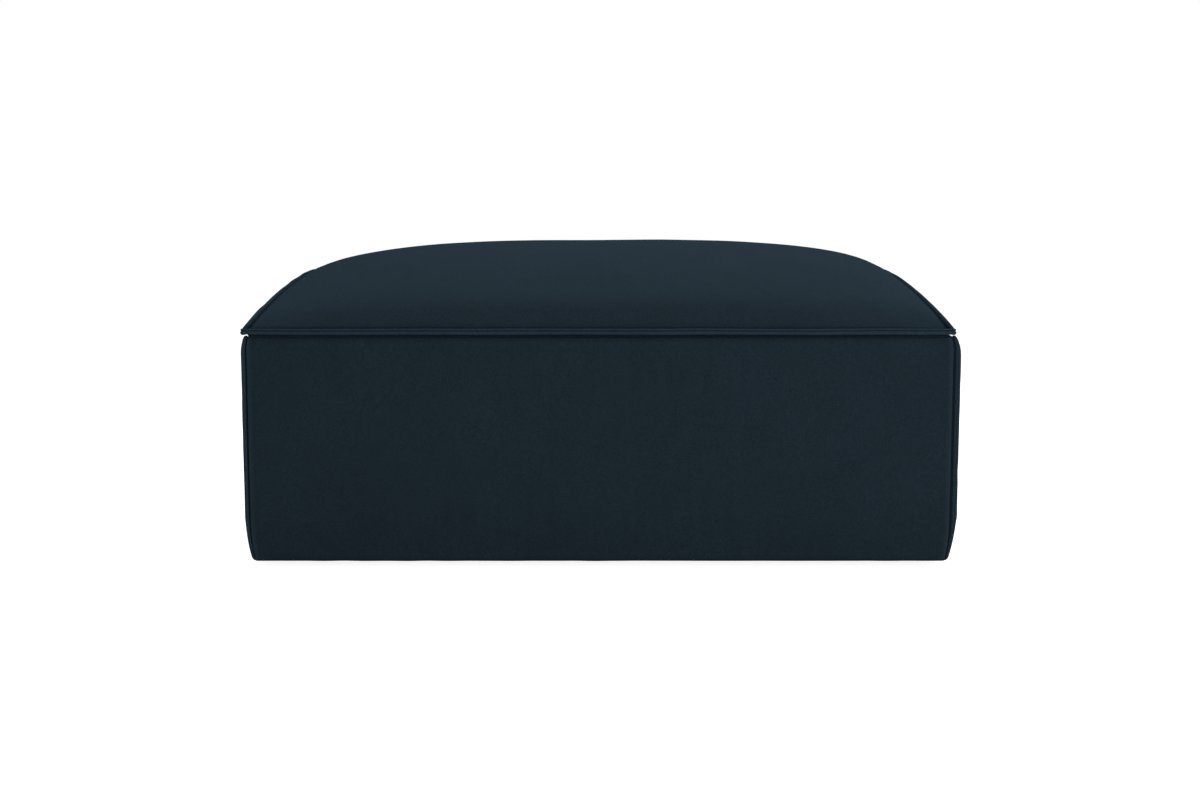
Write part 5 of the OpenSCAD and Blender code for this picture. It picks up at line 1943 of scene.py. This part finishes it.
@dataclass(frozen=True)
class Studio:
    """A white floor and backdrop, soft lamps and the camera."""

    # The camera stands in front of the footstool and looks slightly down
    lens_mm: float = 50.0
    sensor_mm: float = 36.0
    pitch_deg: float = 7.0
    place: tuple[float, float, float] = (0.0, -2.751, 0.531)
    world_strength: float = 0.2
    # Each lamp: name, place, point that it faces, width, height and power in watts
    lamps: tuple[tuple[str, tuple, tuple, float, float, float], ...] = (
        ("overhead_softbox", (0.0, 0.8, 2.5), (0.0, 0.0, 0.4), 2.2, 1.4, 59.0),
        ("front_softbox", (0.4, -3.4, 1.1), (0.0, -0.3, 0.25), 2.4, 1.4, 10.0),
        ("low_front_strip", (0.2, -2.9, 0.35), (0.0, -0.4, 0.2), 2.6, 0.6, 30.0),
        ("left_strip", (-2.6, -0.8, 1.2), (-0.4, 0.0, 0.25), 1.0, 1.8, 4.0),
        ("right_strip", (2.3, -1.4, 1.1), (0.4, -0.3, 0.2), 1.0, 1.6, 22.0),
    )

    def camera(self) -> None:
        """Makes the camera at the photograph's viewing angle."""
        data = bpy.data.cameras.new("camera")
        data.lens = self.lens_mm
        data.sensor_width = self.sensor_mm
        camera = bpy.data.objects.new("camera", data)
        camera.location = self.place
        camera.rotation_euler = (math.radians(90.0 - self.pitch_deg), 0.0, 0.0)
        bpy.context.scene.collection.objects.link(camera)
        bpy.context.scene.camera = camera

    def seen_directly(self, tree: bpy.types.NodeTree) -> Any:
        """A socket that is 1 for rays from the camera and rays that shine or pass through to a surface."""
        path = add_node(tree, "LightPath")
        either = add_node(tree, "Math", links={
            0: path.outputs["Is Camera Ray"], 1: path.outputs["Is Glossy Ray"],
        }, operation="MAXIMUM").outputs[0]
        return add_node(tree, "Math", links={
            0: either, 1: path.outputs["Is Transmission Ray"],
        }, operation="MAXIMUM").outputs[0]

    def world(self) -> None:
        """A world that lights softly and is plain white where it is seen."""
        world = bpy.data.worlds.new("studio")
        tree = empty_tree(world)
        seen = self.seen_directly(tree)
        strength = add_node(
            tree, "MapRange", {"To Min": self.world_strength, "To Max": 1.0}, {"Value": seen},
        ).outputs["Result"]
        light = add_node(tree, "Background", {"Color": (1.0, 1.0, 1.0, 1.0)}, {"Strength": strength})
        add_node(tree, "OutputWorld", links={"Surface": light.outputs[0]})
        bpy.context.scene.world = world

    def floor(self) -> None:
        """A white floor that takes the footstool's shadow and turns plain white away from it."""
        half = 9.0
        corners = np.array([(-half, -half, 0.0), (half, -half, 0.0), (half, half, 0.0), (-half, half, 0.0)])
        floor = link_mesh("studio_floor", corners, [[0, 1, 2, 3]])
        material = bpy.data.materials.new("white_paper_floor")
        tree = empty_tree(material)
        paper = add_node(tree, "BsdfDiffuse", {"Color": (0.8, 0.8, 0.8, 1.0)})
        glow = add_node(tree, "MapRange", {"To Max": 0.86}, {"Value": self.seen_directly(tree)})
        lift = add_node(tree, "Emission", links={"Strength": glow.outputs["Result"]})
        both = add_node(tree, "AddShader", links={0: paper.outputs[0], 1: lift.outputs[0]})
        # The floor is clear from below, so that the underside can be looked at
        clear = add_node(tree, "BsdfTransparent")
        under = add_node(tree, "NewGeometry").outputs["Backfacing"]
        faced = add_node(tree, "MixShader", links={0: under, 1: both.outputs[0], 2: clear.outputs[0]})
        add_node(tree, "OutputMaterial", links={"Surface": faced.outputs[0]})
        floor.data.materials.append(material)

    def lights(self) -> None:
        """Hangs the soft lamps."""
        for name, place, aim, width, height, power in self.lamps:
            data = bpy.data.lights.new(name, "AREA")
            data.shape = "RECTANGLE"
            data.size, data.size_y = width, height
            data.energy = power
            lamp = bpy.data.objects.new(name, data)
            lamp.location = place
            lamp.rotation_euler = (Vector(aim) - Vector(place)).to_track_quat("-Z", "Y").to_euler()
            bpy.context.scene.collection.objects.link(lamp)

    def build(self) -> None:
        """Sets up the camera, the floor, the world and the lamps."""
        self.camera()
        self.floor()
        self.world()
        self.lights()
        bpy.context.scene.view_settings.view_transform = "Standard"


def main() -> None:
    logging.basicConfig(level=logging.INFO, format="%(name)s: %(message)s")
    Studio().build()
    shop, press = Workshop(), ClothPress()
    base, cushion = Base.measured(), Cushion.measured()
    for side in Side:
        press.add(side.label, *base.panel(side))
    grid = cushion.top_grid()
    press.add("cushion_top", grid, cushion.held(grid))
    press.run()
    base.build(shop, press)
    Deck(base).build(shop)
    Underside().build(shop)
    Carcass().build(shop)
    cushion.build(shop, press)
    Zip().build(shop)
    bpy.context.view_layer.update()


if __name__ == "__main__":
    main()
